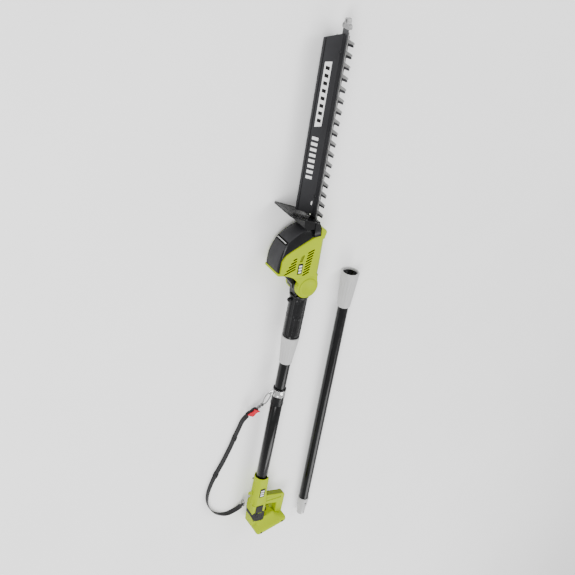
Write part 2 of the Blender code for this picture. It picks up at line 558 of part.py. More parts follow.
def ring_part(centre, along, across, lengths, start, end, steps):
    """Points on an oval, from one angle to another, in degrees."""
    angles = [math.radians(start + (end - start) * k / steps) for k in range(steps + 1)]
    return [centre + along * lengths[0] * math.cos(a) + across * lengths[1] * math.sin(a) for a in angles]


def make_strap(tool):
    """Snap hook, quick-release clip, webbing with two sliders, and the link to the rear handle."""
    lug, along, up = Vector((-371, 29.5, 0)), Vector((-0.93, 0.34, -0.12)).normalized(), Vector((0, 0, 1))
    centre = lug + along * 22
    wire("snap_hook", ring_part(centre, along, up, (22, 8.5), 0, 225, 20), 1.9, tool, "bright_metal")
    wire("snap_gate", ring_part(centre, along, up, (22, 8.5), 234, 338, 9), 1.6, tool, "bright_metal")
    clip = frame("clip_frame", tool, (-447.8, 63.5, -21.8), (0, math.radians(22), math.radians(152)))
    rod("swivel_stem", (-41.5, -16.5), 4, clip, "bright_metal", 16)
    buckle = box("strap_buckle", (-16, 20), (-10, 10), (-5, 5), clip, "black_plastic", bevel=2)
    cut(buckle, box("buckle_slot", (12, 16.5), (-8, 8), (-9, 9), clip, None))
    box("buckle_release", (-14, 14), (-11, 11), (5.4, 9), clip, "red_plastic", bevel=1.5)
    run = smooth_run(STRAP_ROUTE, 12)
    wire("strap_webbing", run, STRAP_HALF, tool, "strap_webbing")
    link = frame("link_frame", tool, (-819, 35.5, -20), (0, 0, math.radians(5)))
    wire("strap_link", ring_part(Vector((0, 0, 0)), Vector((1, 0, 0)), up, (12, 8), 20, 340, 20), 1.6, link, "bright_metal")


def main():
    clear_scene()
    tool = frame("tool_frame", None, (PIVOT_X, PIVOT_Y, PIVOT_HEIGHT))
    head = frame("head_frame", tool, (0, 0, 0), (0, 0, HEAD_TILT))
    make_pole(tool)
    make_strap_clamp(tool)
    make_rear_handle(tool)
    make_rear_controls(tool)
    make_head_section(tool)
    make_head_housing(head)
    make_cover(head)
    make_guard(head)
    make_drive(head)
    make_blades(head)
    make_sweeper(head)
    make_head_trim(head)
    make_extension(tool)
    make_strap(tool)


main()
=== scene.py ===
"""Looks of the pole hedge trimmer: detailed shells, blades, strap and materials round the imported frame."""
import json
import math

import bmesh
import bpy
from mathutils import Matrix, Vector


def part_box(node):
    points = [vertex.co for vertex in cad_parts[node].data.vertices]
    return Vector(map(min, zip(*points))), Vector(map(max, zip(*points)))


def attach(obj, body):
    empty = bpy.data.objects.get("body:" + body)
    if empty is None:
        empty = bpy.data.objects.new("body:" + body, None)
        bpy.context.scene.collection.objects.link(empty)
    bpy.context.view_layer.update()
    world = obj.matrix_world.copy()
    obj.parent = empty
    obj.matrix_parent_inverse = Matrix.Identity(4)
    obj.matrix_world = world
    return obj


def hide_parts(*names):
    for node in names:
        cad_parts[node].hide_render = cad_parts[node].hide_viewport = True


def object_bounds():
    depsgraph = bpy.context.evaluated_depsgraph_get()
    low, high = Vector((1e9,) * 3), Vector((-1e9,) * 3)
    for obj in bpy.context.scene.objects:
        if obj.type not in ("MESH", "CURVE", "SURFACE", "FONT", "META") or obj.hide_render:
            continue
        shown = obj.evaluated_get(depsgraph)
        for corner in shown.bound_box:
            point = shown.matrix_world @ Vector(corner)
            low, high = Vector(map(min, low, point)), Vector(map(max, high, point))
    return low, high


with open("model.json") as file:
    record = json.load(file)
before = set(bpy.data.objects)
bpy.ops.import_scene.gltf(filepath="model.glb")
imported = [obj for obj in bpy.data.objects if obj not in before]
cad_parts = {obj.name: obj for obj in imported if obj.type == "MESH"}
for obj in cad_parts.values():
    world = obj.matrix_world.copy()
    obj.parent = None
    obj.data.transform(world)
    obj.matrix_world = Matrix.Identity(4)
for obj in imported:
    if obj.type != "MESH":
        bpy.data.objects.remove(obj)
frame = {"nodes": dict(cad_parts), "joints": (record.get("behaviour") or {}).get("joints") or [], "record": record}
CAD_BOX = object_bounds()

MM = 0.001
JOINTS = {joint["name"]: joint for joint in frame["joints"]}
SIDES = (("near", 1), ("far", -1))


def middle(node):
    low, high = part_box(node)
    return (Vector(low) + Vector(high)) / 2


# Frames, in millimetres. The tool's origin is the head's pivot, X runs along the pole, Y to the strap's side.
PIVOT = middle("pivot_pin")
STROKE = JOINTS["upper_blade_stroke"]["axis"]
TOOL = Matrix.Translation(PIVOT) @ Matrix.Scale(MM, 4)
HEAD = TOOL @ Matrix.Rotation(math.atan2(STROKE[1], STROKE[0]), 4, "Z")

# The loose extension: its frame starts at the collar's rim, a given length ahead of the collar's joint.
EXT_RIM_AHEAD = 0.05
EXT_AXIS = Vector(JOINTS["extension_collar_twist"]["axis"])
EXT_RIM = Vector(JOINTS["extension_collar_twist"]["pos_m"]) + EXT_AXIS * EXT_RIM_AHEAD
EXT_PITCH, EXT_YAW = -math.asin(EXT_AXIS.z), math.atan2(EXT_AXIS.y, EXT_AXIS.x)
EXT_SPIN = Matrix.Rotation(EXT_YAW, 4, "Z") @ Matrix.Rotation(EXT_PITCH, 4, "Y")
EXT = Matrix.Translation(EXT_RIM) @ EXT_SPIN @ Matrix.Scale(MM, 4)

# The slanted battery dock in the foot, and the strap's hook and buckle.
DOCK_TURN = math.atan2(34, 96)
DOCK = TOOL @ Matrix.Translation((-900, -50, 0)) @ Matrix.Rotation(DOCK_TURN, 4, "Z")
CLIP_TURN, CLIP_DIP = math.radians(152), math.radians(22)
CLIP = TOOL @ Matrix.Translation((-447.8, 63.5, -21.8))
CLIP = CLIP @ Matrix.Rotation(CLIP_TURN, 4, "Z") @ Matrix.Rotation(CLIP_DIP, 4, "Y")


# --- Materials

def nodes_of(name):
    material = bpy.data.materials.new(name)
    material.use_nodes = True
    tree = material.node_tree
    shader = tree.nodes["Principled BSDF"]
    place = tree.nodes.new("ShaderNodeTexCoord")
    return material, tree, shader, place.outputs["Object"]


def noise(tree, place, scale, detail=3.0, stretch=None):
    if stretch:
        mapping = tree.nodes.new("ShaderNodeMapping")
        mapping.inputs["Scale"].default_value = stretch
        tree.links.new(place, mapping.inputs["Vector"])
        place = mapping.outputs["Vector"]
    texture = tree.nodes.new("ShaderNodeTexNoise")
    texture.inputs["Scale"].default_value = scale
    texture.inputs["Detail"].default_value = detail
    tree.links.new(place, texture.inputs["Vector"])
    return texture.outputs["Fac"]


def spread(tree, factor, low, high, start=0.35, stop=0.65):
    """Maps a noise factor on to a range."""
    node = tree.nodes.new("ShaderNodeMapRange")
    for socket, value in (("From Min", start), ("From Max", stop), ("To Min", low), ("To Max", high)):
        node.inputs[socket].default_value = value
    tree.links.new(factor, node.inputs["Value"])
    return node.outputs["Result"]


def blend_colours(tree, factor, first, second):
    node = tree.nodes.new("ShaderNodeMix")
    node.data_type = "RGBA"
    node.inputs["A"].default_value = (*first, 1)
    node.inputs["B"].default_value = (*second, 1)
    tree.links.new(factor, node.inputs["Factor"])
    return node.outputs["Result"]


def bump(tree, shader, height, strength, distance):
    node = tree.nodes.new("ShaderNodeBump")
    node.inputs["Strength"].default_value = strength
    node.inputs["Distance"].default_value = distance
    tree.links.new(height, node.inputs["Height"])
    tree.links.new(node.outputs["Normal"], shader.inputs["Normal"])


def plastic(name, colour, roughness, grain=2600, depth=0.00006, variation=0.06, specular=0.5):
    """Moulded plastic: fine grain, slow tone drift and faint handling marks in the gloss."""
    material, tree, shader, place = nodes_of(name)
    darker = [c * (1 - variation) for c in colour]
    lighter = [min(1, c * (1 + variation)) for c in colour]
    tone = spread(tree, noise(tree, place, 14, 4), 0, 1, 0.3, 0.7)
    tree.links.new(blend_colours(tree, tone, darker, lighter), shader.inputs["Base Color"])
    marks = spread(tree, noise(tree, place, 60, 6), roughness - 0.05, roughness + 0.07)
    tree.links.new(marks, shader.inputs["Roughness"])
    shader.inputs["Specular IOR Level"].default_value = specular
    bump(tree, shader, noise(tree, place, grain, 2), 0.35, depth)
    return material


def metal(name, colour, roughness, stretch=(1, 1, 1), scale=300, variation=0.12, metallic=1.0):
    """Ground or plated metal: fine scratches along one direction and uneven polish."""
    material, tree, shader, place = nodes_of(name)
    darker = [c * (1 - variation) for c in colour]
    scratches = noise(tree, place, scale, 5, stretch)
    tone = blend_colours(tree, spread(tree, scratches, 0, 1), darker, colour)
    tree.links.new(tone, shader.inputs["Base Color"])
    polish = spread(tree, noise(tree, place, 90, 4, stretch), roughness - 0.06, roughness + 0.1)
    tree.links.new(polish, shader.inputs["Roughness"])
    shader.inputs["Metallic"].default_value = metallic
    bump(tree, shader, scratches, 0.2, 0.00005)
    return material


def webbing_material():
    """Black nylon webbing: crossed yarns, with a soft sheen."""
    material, tree, shader, place = nodes_of("webbing")
    yarns = []
    for turn in (math.radians(45), math.radians(-45)):
        mapping = tree.nodes.new("ShaderNodeMapping")
        mapping.inputs["Rotation"].default_value = (0, 0, turn)
        tree.links.new(place, mapping.inputs["Vector"])
        wave = tree.nodes.new("ShaderNodeTexWave")
        wave.inputs["Scale"].default_value = 260
        wave.inputs["Distortion"].default_value = 0.4
        tree.links.new(mapping.outputs["Vector"], wave.inputs["Vector"])
        yarns.append(wave.outputs["Fac"])
    product = tree.nodes.new("ShaderNodeMath")
    product.operation = "MULTIPLY"
    tree.links.new(yarns[0], product.inputs[0])
    tree.links.new(yarns[1], product.inputs[1])
    weave = product.outputs["Value"]
    tone = blend_colours(tree, weave, (0.004, 0.004, 0.0045), (0.02, 0.02, 0.021))
    tree.links.new(tone, shader.inputs["Base Color"])
    fuzz = spread(tree, noise(tree, place, 900, 3), 0.72, 0.92)
    tree.links.new(fuzz, shader.inputs["Roughness"])
    shader.inputs["Sheen Weight"].default_value = 0.08
    shader.inputs["Sheen Roughness"].default_value = 0.4
    bump(tree, shader, weave, 0.6, 0.0004)
    return material


COARSE = {"grain": 1500, "depth": 0.0001, "variation": 0.12, "specular": 0.2}
LOOKS = {
    "lime_plastic": plastic("lime", (0.3, 0.39, 0.0), 0.42, specular=0.06),
    # A darker copy of the lime plastic: painted shade for the head's side recess and the guard loop's arm face.
    "lime_painted_shade": plastic("lime_painted_shade", (0.12, 0.155, 0.0), 0.5, specular=0.15),
    "black_plastic": plastic("black", (0.004, 0.004, 0.0045), 0.26, variation=0.2, specular=0.2),
    "charcoal_plastic": plastic("charcoal", (0.021, 0.021, 0.023), 0.5, **COARSE),
    "sweeper_plastic": plastic("sweeper_black", (0.021, 0.021, 0.023), 0.5, **{**COARSE, "grain": 1200}),
    "grey_plastic": plastic("light_grey", (0.41, 0.41, 0.408), 0.35, variation=0.05, specular=0.3),
    "soft_rubber": plastic(
        "rubber", (0.012, 0.0115, 0.0125), 0.7, grain=900, depth=0.00025, variation=0.2, specular=0.3
    ),
    "black_pole": plastic(
        "pole_coat", (0.002, 0.002, 0.0023), 0.16, grain=700, depth=0.00002, specular=0.22, variation=0.2
    ),
    "blade_steel": metal("blade_ground", (0.34, 0.34, 0.335), 0.32, (1, 12, 12), 220, metallic=0.45),
    "dark_steel": metal("steel_dark", (0.11, 0.11, 0.115), 0.42, (1, 6, 6), 200),
    # Near-black metal for the blade bar: painted shade where the sweeper's lip covers the bar, which is itself
    # blade steel.
    "bar_lip_shade": metal("bar_painted_shade", (0.06, 0.06, 0.063), 0.35, (1, 12, 12), 160, metallic=0.6),
    "hook_metal": metal("hook_plating", (0.2, 0.2, 0.2), 0.2, (4, 4, 4), 160),
    "bright_metal": metal("plated", (0.5, 0.5, 0.5), 0.16, (4, 4, 4), 160),
    "cast_alloy": metal("alloy", (0.42, 0.42, 0.42), 0.5, (1, 1, 1), 700, 0.2),
    "badge_plate": plastic("badge_silver", (0.55, 0.55, 0.55), 0.3, variation=0.08),
    "badge_dark": plastic("badge_black", (0.006, 0.006, 0.006), 0.55, specular=0.12),
    "red_plastic": plastic("red", (0.46, 0.0, 0.014), 0.45, variation=0.08, specular=0.2),
    "white_print": plastic("print_white", (0.72, 0.72, 0.72), 0.5, variation=0.04),
    "strap_webbing": webbing_material(),
    "circuit_board": plastic("board", (0.02, 0.12, 0.05), 0.4, variation=0.3),
    "copper_cable": plastic("sheath", (0.02, 0.02, 0.02), 0.5),
}


# --- Building

def soften(obj, width, segments=2, sharp=32):
    """Rounds the edges sharper than an angle in degrees; width is in millimetres."""
    edges = obj.modifiers.new("Edges", "BEVEL")
    edges.width = width * MM
    edges.segments = segments
    edges.limit_method = "ANGLE"
    edges.angle_limit = math.radians(sharp)
    edges.harden_normals = True
    return obj


def solid(name, make, place, look, body, replaces=(), bevel=0.0, segments=3, sharp=32):
    """A piece on a body. Its make fills a bmesh in millimetres, and place sets that in the world."""
    shape = bmesh.new()
    make(shape)
    bmesh.ops.remove_doubles(shape, verts=shape.verts, dist=1e-4)
    bmesh.ops.recalc_face_normals(shape, faces=shape.faces)
    shape.transform(place)
    mesh = bpy.data.meshes.new(name)
    shape.to_mesh(mesh)
    shape.free()
    mesh.shade_smooth()
    mesh.set_sharp_from_angle(angle=math.radians(sharp))
    obj = bpy.data.objects.new(name, mesh)
    bpy.context.scene.collection.objects.link(obj)
    if look is None:
        return obj
    mesh.materials.append(LOOKS[look])
    if bevel:
        soften(obj, bevel, segments, sharp)
    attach(obj, body)
    if replaces:
        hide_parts(*replaces)
    return obj


def cutter(make, place, look=None):
    """A helper for carve. With a look, the faces that it leaves in the piece take that look."""
    return solid("cutter", make, place, look, "pole")


def settle(obj, sharp=32):
    """Applies the modifiers, so that the piece keeps only its final mesh."""
    bpy.context.view_layer.update()
    graph = bpy.context.evaluated_depsgraph_get()
    mesh = bpy.data.meshes.new_from_object(obj.evaluated_get(graph), depsgraph=graph)
    obj.modifiers.clear()
    obj.data = mesh
    mesh.shade_smooth()
    mesh.set_sharp_from_angle(angle=math.radians(sharp))
    return obj


def carve(obj, tools, operation="DIFFERENCE"):
    """Cuts or joins helper solids into a piece, and removes the helpers."""
    for tool in tools:
        step = obj.modifiers.new("Cut", "BOOLEAN")
        step.operation = operation
        step.object = tool
        step.material_mode = "TRANSFER" if tool.data.materials else "INDEX"
    settle(obj)
    for tool in tools:
        bpy.data.objects.remove(tool, do_unlink=True)
    return obj


def prism(outline, low, high, plane="XY"):
    place = {
        "XY": lambda a, b, c: (a, b, c),
        "XZ": lambda a, b, c: (a, c, b),
        "YZ": lambda a, b, c: (c, a, b),
    }[plane]

    def make(shape):
        rings = [[shape.verts.new(place(a, b, level)) for a, b in outline] for level in (low, high)]
        shape.faces.new(rings[0])
        shape.faces.new(rings[1][::-1])
        for i, j in zip(range(len(outline)), list(range(1, len(outline))) + [0]):
            shape.faces.new((rings[0][j], rings[0][i], rings[1][i], rings[1][j]))

    return make


def block(x, y, z):
    return prism([(x[0], y[0]), (x[1], y[0]), (x[1], y[1]), (x[0], y[1])], z[0], z[1])


def skin(shape, rows, looped=False):
    """Faces between rings of vertices that all have the same count."""
    pairs = list(zip(rows, rows[1:])) + ([(rows[-1], rows[0])] if looped else [])
    for first, second in pairs:
        for i in range(len(first)):
            j = (i + 1) % len(first)
            shape.faces.new((first[i], first[j], second[j], second[i]))


def cap(shape, rows):
    """Flat faces over the first and the last ring."""
    shape.faces.new(rows[0][::-1])
    shape.faces.new(rows[-1])


def loft(rings):
    """A solid through closed rings of points that all have the same count."""
    def make(shape):
        rows = [[shape.verts.new(point) for point in ring] for ring in rings]
        skin(shape, rows)
        cap(shape, rows)

    return make


def turned(profile, sides=72, axis="X", centre=(0, 0, 0), flutes=None):
    """A profile of (station, radius) turned about an axis; flutes scales the radius by place and angle."""
    spin = {
        "X": lambda s, a, b: (s, a, b),
        "Y": lambda s, a, b: (b, s, a),
        "Z": lambda s, a, b: (a, b, s),
    }[axis]

    def ring(station, radius):
        points = []
        for step in range(sides):
            angle = 2 * math.pi * step / sides
            reach = radius * (flutes(station, angle, radius) if flutes else 1)
            point = spin(station, reach * math.cos(angle), reach * math.sin(angle))
            points.append(Vector(point) + Vector(centre))
        return points

    def make(shape):
        rows = [[shape.verts.new(p) for p in ring(s, max(r, 1e-3))] for s, r in profile]
        hollow = all(radius for _, radius in profile)
        skin(shape, rows, hollow)
        if not hollow:
            bmesh.ops.remove_doubles(shape, verts=rows[0] + rows[-1], dist=0.02)

    return make


def bar(ends, radius, axis="X", centre=(0, 0, 0), sides=32):
    return turned([(ends[0], 0), (ends[0], radius), (ends[1], radius), (ends[1], 0)], sides, axis, centre)


def rounded(y, z, radius, steps=5):
    """A rectangle with round corners as (y, z) points."""
    points = []
    for cy, cz, start in ((y[1], z[1], 0), (y[0], z[1], 90), (y[0], z[0], 180), (y[1], z[0], 270)):
        middle_y = cy - radius if cy == y[1] else cy + radius
        middle_z = cz - radius if cz == z[1] else cz + radius
        points += arc((middle_y, middle_z), radius, start, start + 90, steps)
    return points


def arc(centre, radius, start, end, steps):
    angles = [math.radians(start + (end - start) * k / steps) for k in range(steps + 1)]
    return [(centre[0] + radius * math.cos(a), centre[1] + radius * math.sin(a)) for a in angles]


def mirrored(outline):
    return outline + [(a, -b) for a, b in reversed(outline)]


def at_x(outline, x):
    return [(x, y, z) for y, z in outline]


def stepped(start, stop, count):
    return [start + (stop - start) * k / count for k in range(count + 1)]


def ramp(t, start, stop):
    """Rises smoothly from 0 to 1 between two values of t."""
    share = min(1.0, max(0.0, (t - start) / (stop - start)))
    return share * share * (3 - 2 * share)


def curve_through(points, step):
    """Points every step along a Catmull-Rom curve."""
    route = [Vector(point) for point in points]
    route = [2 * route[0] - route[1]] + route + [2 * route[-1] - route[-2]]
    run = [route[1]]
    for a, b, c, d in zip(route, route[1:], route[2:], route[3:]):
        pieces = max(1, round((c - b).length / step))
        for k in range(1, pieces + 1):
            t = k / pieces
            run.append(0.5 * (2 * b + (c - a) * t + (2 * a - 5 * b + 4 * c - d) * t * t
                              + (3 * b - a - 3 * c + d) * t**3))
    return run


def oval(centre, along, across, lengths, start, end, steps):
    """Points on an ellipse that two directions span, with angles in degrees."""
    angles = [math.radians(start + (end - start) * k / steps) for k in range(steps + 1)]
    return [centre + along * lengths[0] * math.cos(a) + across * lengths[1] * math.sin(a) for a in angles]


def swept(points, radius, sides=14, closed=False):
    """A round wire along points, with flat ends where it is open."""
    def make(shape):
        count = len(points)
        angles = [2 * math.pi * s / sides for s in range(sides)]
        rows = []
        side = Vector((0, 0, 1))
        for k, point in enumerate(points):
            before = points[k - 1] if k or closed else points[0]
            after = points[(k + 1) % count] if closed or k + 1 < count else points[-1]
            ahead = (after - before).normalized()
            side = (side - ahead * side.dot(ahead)).normalized()
            up = ahead.cross(side)
            ring = [point + (side * math.cos(a) + up * math.sin(a)) * radius for a in angles]
            rows.append([shape.verts.new(place) for place in ring])
        skin(shape, rows, closed)
        if not closed:
            cap(shape, rows)

    return make


# --- Stage, light and camera

def make_stage():
    material, tree, shader, place = nodes_of("floor")
    shade = spread(tree, noise(tree, place, 3, 2), 0, 1)
    tone = blend_colours(tree, shade, (0.95, 0.95, 0.95), (0.97, 0.97, 0.97))
    tree.links.new(tone, shader.inputs["Base Color"])
    shader.inputs["Roughness"].default_value = 0.9
    mesh = bpy.data.meshes.new("floor")
    reach = 8
    corners = [(-reach, -reach, 0), (reach, -reach, 0), (reach, reach, 0), (-reach, reach, 0)]
    mesh.from_pydata(corners, [], [(0, 1, 2, 3)])
    floor = bpy.data.objects.new("floor", mesh)
    mesh.materials.append(material)
    bpy.context.scene.collection.objects.link(floor)
    floor.location.z = CAD_BOX[0][2] - 0.0005


def area_light(name, place, aim, size, power):
    light = bpy.data.lights.new(name, "AREA")
    light.shape = "RECTANGLE"
    light.size, light.size_y = size
    light.energy = power
    lamp = bpy.data.objects.new(name, light)
    bpy.context.scene.collection.objects.link(lamp)
    lamp.location = place
    lamp.rotation_euler = (Vector(aim) - Vector(place)).to_track_quat("-Z", "Y").to_euler()


def make_light():
    world = bpy.data.worlds.new("studio")
    bpy.context.scene.world = world
    world.use_nodes = True
    world.node_tree.nodes["Background"].inputs["Color"].default_value = (1, 1, 1, 1)
    world.node_tree.nodes["Background"].inputs["Strength"].default_value = 1.05
    area_light("key", (0.2, 2.2, 2.6), (0, 0, 0), (2.4, 1.2), 110)
    area_light("fill", (1.8, -1.6, 2.2), (0, 0, 0), (1.6, 1.6), 40)
    area_light("rim", (-2.0, -0.6, 1.6), (-0.2, 0, 0), (1.4, 1.0), 26)


# The camera, measured in the tool's frame: millimetres from the pivot, angles in degrees.
CAMERA_AWAY, CAMERA_SIDE, CAMERA_RISE = 2471, -39.1, -15.3
CAMERA_TILT, CAMERA_TURN, CAMERA_ROLL = 28.69, 53.47, 11.27
CAMERA_LENS, SENSOR = 56.35, 36


def make_camera():
    tilt, turn, roll = (math.radians(a) for a in (CAMERA_TILT, CAMERA_TURN, CAMERA_ROLL))
    back = Vector((math.sin(tilt), math.cos(tilt) * math.cos(turn), math.cos(tilt) * math.sin(turn)))
    level_up = (Vector((1, 0, 0)) - back * back.x).normalized()
    level_right = level_up.cross(back)
    up = math.cos(roll) * level_up - math.sin(roll) * level_right
    right = up.cross(back)
    data = bpy.data.cameras.new("camera")
    data.lens = CAMERA_LENS
    data.sensor_width = SENSOR
    data.clip_end = 50
    camera = bpy.data.objects.new("camera", data)
    bpy.context.scene.collection.objects.link(camera)
    place = PIVOT + (back * CAMERA_AWAY + right * CAMERA_SIDE + up * CAMERA_RISE) * MM
    facing = Matrix((right, up, back)).transposed().to_4x4()
    camera.matrix_world = Matrix.Translation(place) @ facing
    bpy.context.scene.camera = camera


# --- Strap and its hook

STRAP_ROUTE = [
    (-466, 73.5, -31), (-490, 84, -37), (-518, 91, -38.6), (-548, 99, -39.3), (-580, 107, -39.3),
    (-612, 117, -39.3), (-642, 127, -39.3), (-670, 138, -39.3), (-700, 149, -39.3), (-730, 157, -39.3),
    (-760, 161, -39.3), (-788, 159, -39.3), (-812, 151, -39.3), (-834, 138, -39.3), (-852, 120, -39.3),
    (-864, 98, -39.3), (-868, 76, -38.6), (-862, 57, -37), (-850, 45, -32), (-836, 38, -26),
]
STRAP_WIDTH, STRAP_THICK, STRAP_STEP = 15, 1.7, 5
SLIDER_SIZE = (15, 17, 4.4)
DOUBLED_PERCENT, SECOND_SLIDER_PERCENT = 48, 45
HOOK_LUG, LINK_CENTRE = Vector((-371, 29.5, 0)), Vector((-819, 35.5, -20))
HOOK_REACH, HOOK_HALF_WIDTH, HOOK_WIRE, LINK_WIRE = 22, 8.5, 2.0, 1.7


def ribbon_frames(route, lean):
    """For each point: the direction across the webbing and its normal, leaning off flat by lean degrees."""
    frames = []
    for k, point in enumerate(route):
        ahead = (route[min(k + 1, len(route) - 1)] - route[max(k - 1, 0)]).normalized()
        level = Vector((0, 0, 1)).cross(ahead).normalized()
        upward = ahead.cross(level)
        angle = math.radians(lean(k / (len(route) - 1)))
        across = level * math.cos(angle) + upward * math.sin(angle)
        frames.append((point, across, ahead.cross(across)))
    return frames


def strap_lean(t):
    """Degrees off flat: the webbing stands on its edge and turns over towards the link."""
    return 76 + 9 * ramp(t, 0.45, 0.7) + 42 * ramp(t, 0.82, 0.96)


def webbing(frames, width, thick, shift=0.0):
    """A flat strap with two raised sewn edges and a shallow middle channel."""
    side = [(-1, 0.7), (-0.92, 1), (-0.55, 0.85), (-0.06, 0.85), (0, 0.6), (0.06, 0.85), (0.55, 0.85),
            (0.92, 1), (1, 0.7)]
    section = [(a * width / 2, b * thick / 2) for a, b in side]
    rings = []
    for point, across, normal in frames:
        rings.append([point + across * a + normal * (b + shift) for a, b in mirrored(section)])
    return loft(rings)


def make_slider(name, frame_at):
    """A webbing slider: a flat frame with a middle bar that the strap threads over."""
    point, across, normal = frame_at
    ahead = across.cross(normal)
    facing = Matrix((ahead, across, normal)).transposed().to_4x4()
    place = TOOL @ Matrix.Translation(point + normal + across * 0.9) @ facing
    long, wide, thick = SLIDER_SIZE
    outside = block((-long / 2, long / 2), (-wide / 2, wide / 2), (-thick / 2, thick / 2))
    slider = solid(name, outside, place, "black_plastic", "pole")
    spans = ((-long / 2 + 2, -1.5), (1.5, long / 2 - 2))
    carve(slider, [cutter(block(span, (-wide / 2 + 2, wide / 2 - 2), (-9, 9)), place) for span in spans])
    return soften(slider, 0.5)


def make_strap_end(last):
    """The strap's sewn triangular end, folded round its link."""
    point, across, normal = last
    ahead = across.cross(normal)
    corners = ((-1, -0.6), (-0.8, -1), (0.8, -1), (1, -0.6), (1, 0.6), (0.8, 1), (-0.8, 1), (-1, 0.6))
    rings = []
    for k in range(7):
        t = k / 6
        half = (STRAP_WIDTH / 2 + 0.5) * (1 - 0.72 * t)
        thick = 2.6 + 1.2 * t
        centre = point + ahead * (-10 + 24 * t)
        rings.append([centre + across * a * half + normal * b * thick / 2 for a, b in corners])
    return solid("strap_end", loft(rings), TOOL, "strap_webbing", "pole")


def make_strap():
    route = curve_through(STRAP_ROUTE, STRAP_STEP)
    frames = ribbon_frames(route, strap_lean)
    ribbon = webbing(frames, STRAP_WIDTH, STRAP_THICK)
    strap = solid("webbing_strap", ribbon, TOOL, "strap_webbing", "pole", ["strap_webbing"])
    doubled = frames[2 : len(frames) * DOUBLED_PERCENT // 100]
    upper_layer = webbing(doubled, STRAP_WIDTH - 1, STRAP_THICK, 2.0)
    second = solid("webbing_doubled", upper_layer, TOOL, "strap_webbing", "pole")
    sliders = [
        make_slider("strap_slider_1", frames[18]),
        make_slider("strap_slider_2", frames[len(frames) * SECOND_SLIDER_PERCENT // 100]),
    ]
    end_piece = make_strap_end(frames[-1])


def make_hook():
    """The snap hook with its gate, the swivel stem and buckle behind it, and the wire link at the far end."""
    along, up = Vector((-0.93, 0.34, -0.12)).normalized(), Vector((0, 0, 1))
    centre, reach = HOOK_LUG + along * HOOK_REACH, (HOOK_REACH, HOOK_HALF_WIDTH)
    wire = swept(oval(centre, along, up, reach, -2, 226, 48), HOOK_WIRE, 16)
    solid("hook_wire", wire, TOOL, "hook_metal", "pole", ["snap_hook"], bevel=0.5)
    gate = swept(oval(centre, along, up, reach, 233, 338, 24), 1.5, 14)
    solid("hook_gate", gate, TOOL, "hook_metal", "snap_gate", ["snap_gate"], bevel=0.4)
    stem = [(-41.8, 0), (-41.8, 4.6), (-40.5, 5.6), (-37, 5.6), (-36, 3.2), (-31, 3.2), (-30, 5), (-24, 5.4),
            (-22.5, 3.6), (-16, 3.6), (-16, 0)]
    solid("hook_swivel", turned(stem, 40), CLIP, "hook_metal", "pole", ["swivel_stem"])
    sections = ((-17, 6, 4, 2), (-14, 9, 5, 2.5), (-8, 10, 5, 2.5), (6, 10, 5, 2.5), (12, 12, 4.2, 2),
                (20.5, 12, 4, 2))
    rings = [at_x(rounded((-half, half), (-thick, thick), radius), x) for x, half, thick, radius in sections]
    buckle = solid("buckle_body", loft(rings), CLIP, "black_plastic", "pole", ["strap_buckle"])
    carve(buckle, [cutter(block((13.5, 17.5), (-9.5, 9.5), (-9, 9)), CLIP)])
    soften(buckle, 0.5)
    wings = [(14.5, 11), (14.5, -11), (4, -10), (-4, -7.4), (-11, -8.5), (-15, -12), (-17, -11), (-17, 11),
             (-15, 12), (-11, 8.5), (-4, 7.4), (4, 10)]
    solid("buckle_tab", prism(wings, 5.5, 9.2), CLIP, "red_plastic", "buckle_release", ["buckle_release"],
          bevel=1.2, segments=4)
    ring = oval(LINK_CENTRE, Vector((0.996, 0.087, 0)), up, (12, 8), 0, 352, 48)[:-1]
    solid("link_wire", swept(ring, LINK_WIRE, 14, True), TOOL, "hook_metal", "pole", ["strap_link"])


# --- Pole, grip and collars

POLE_RADIUS, POLE_FIT, POLE_FRONT, POLE_REAR = 16.5, 16.9, -205, -735
CLAMP_LUG, LUG_THICK = (-371, 29, 0), 3
FLUTE_DEPTH = 0.05


def grip_ribs(station, angle, radius):
    """Long shallow ribs along the grip, broken by a smooth ring in the middle."""
    if not -166 < station < -50 or radius < 20:
        return 1
    return 1 + 0.03 * max(-1, min(1, 2.2 * math.cos(8 * angle)))


def collar_flutes(count, first, last, depth):
    """Finger flutes that fade out at both ends of a collar."""
    def flutes(station, angle, radius):
        along = (station - last) / (first - last)
        if not 0 < along < 1 or radius < 17:
            return 1
        fade = min(1, 6 * along, 6 * (1 - along))
        return 1 - depth * fade * max(0, math.cos(count * angle)) ** 0.7
    return flutes


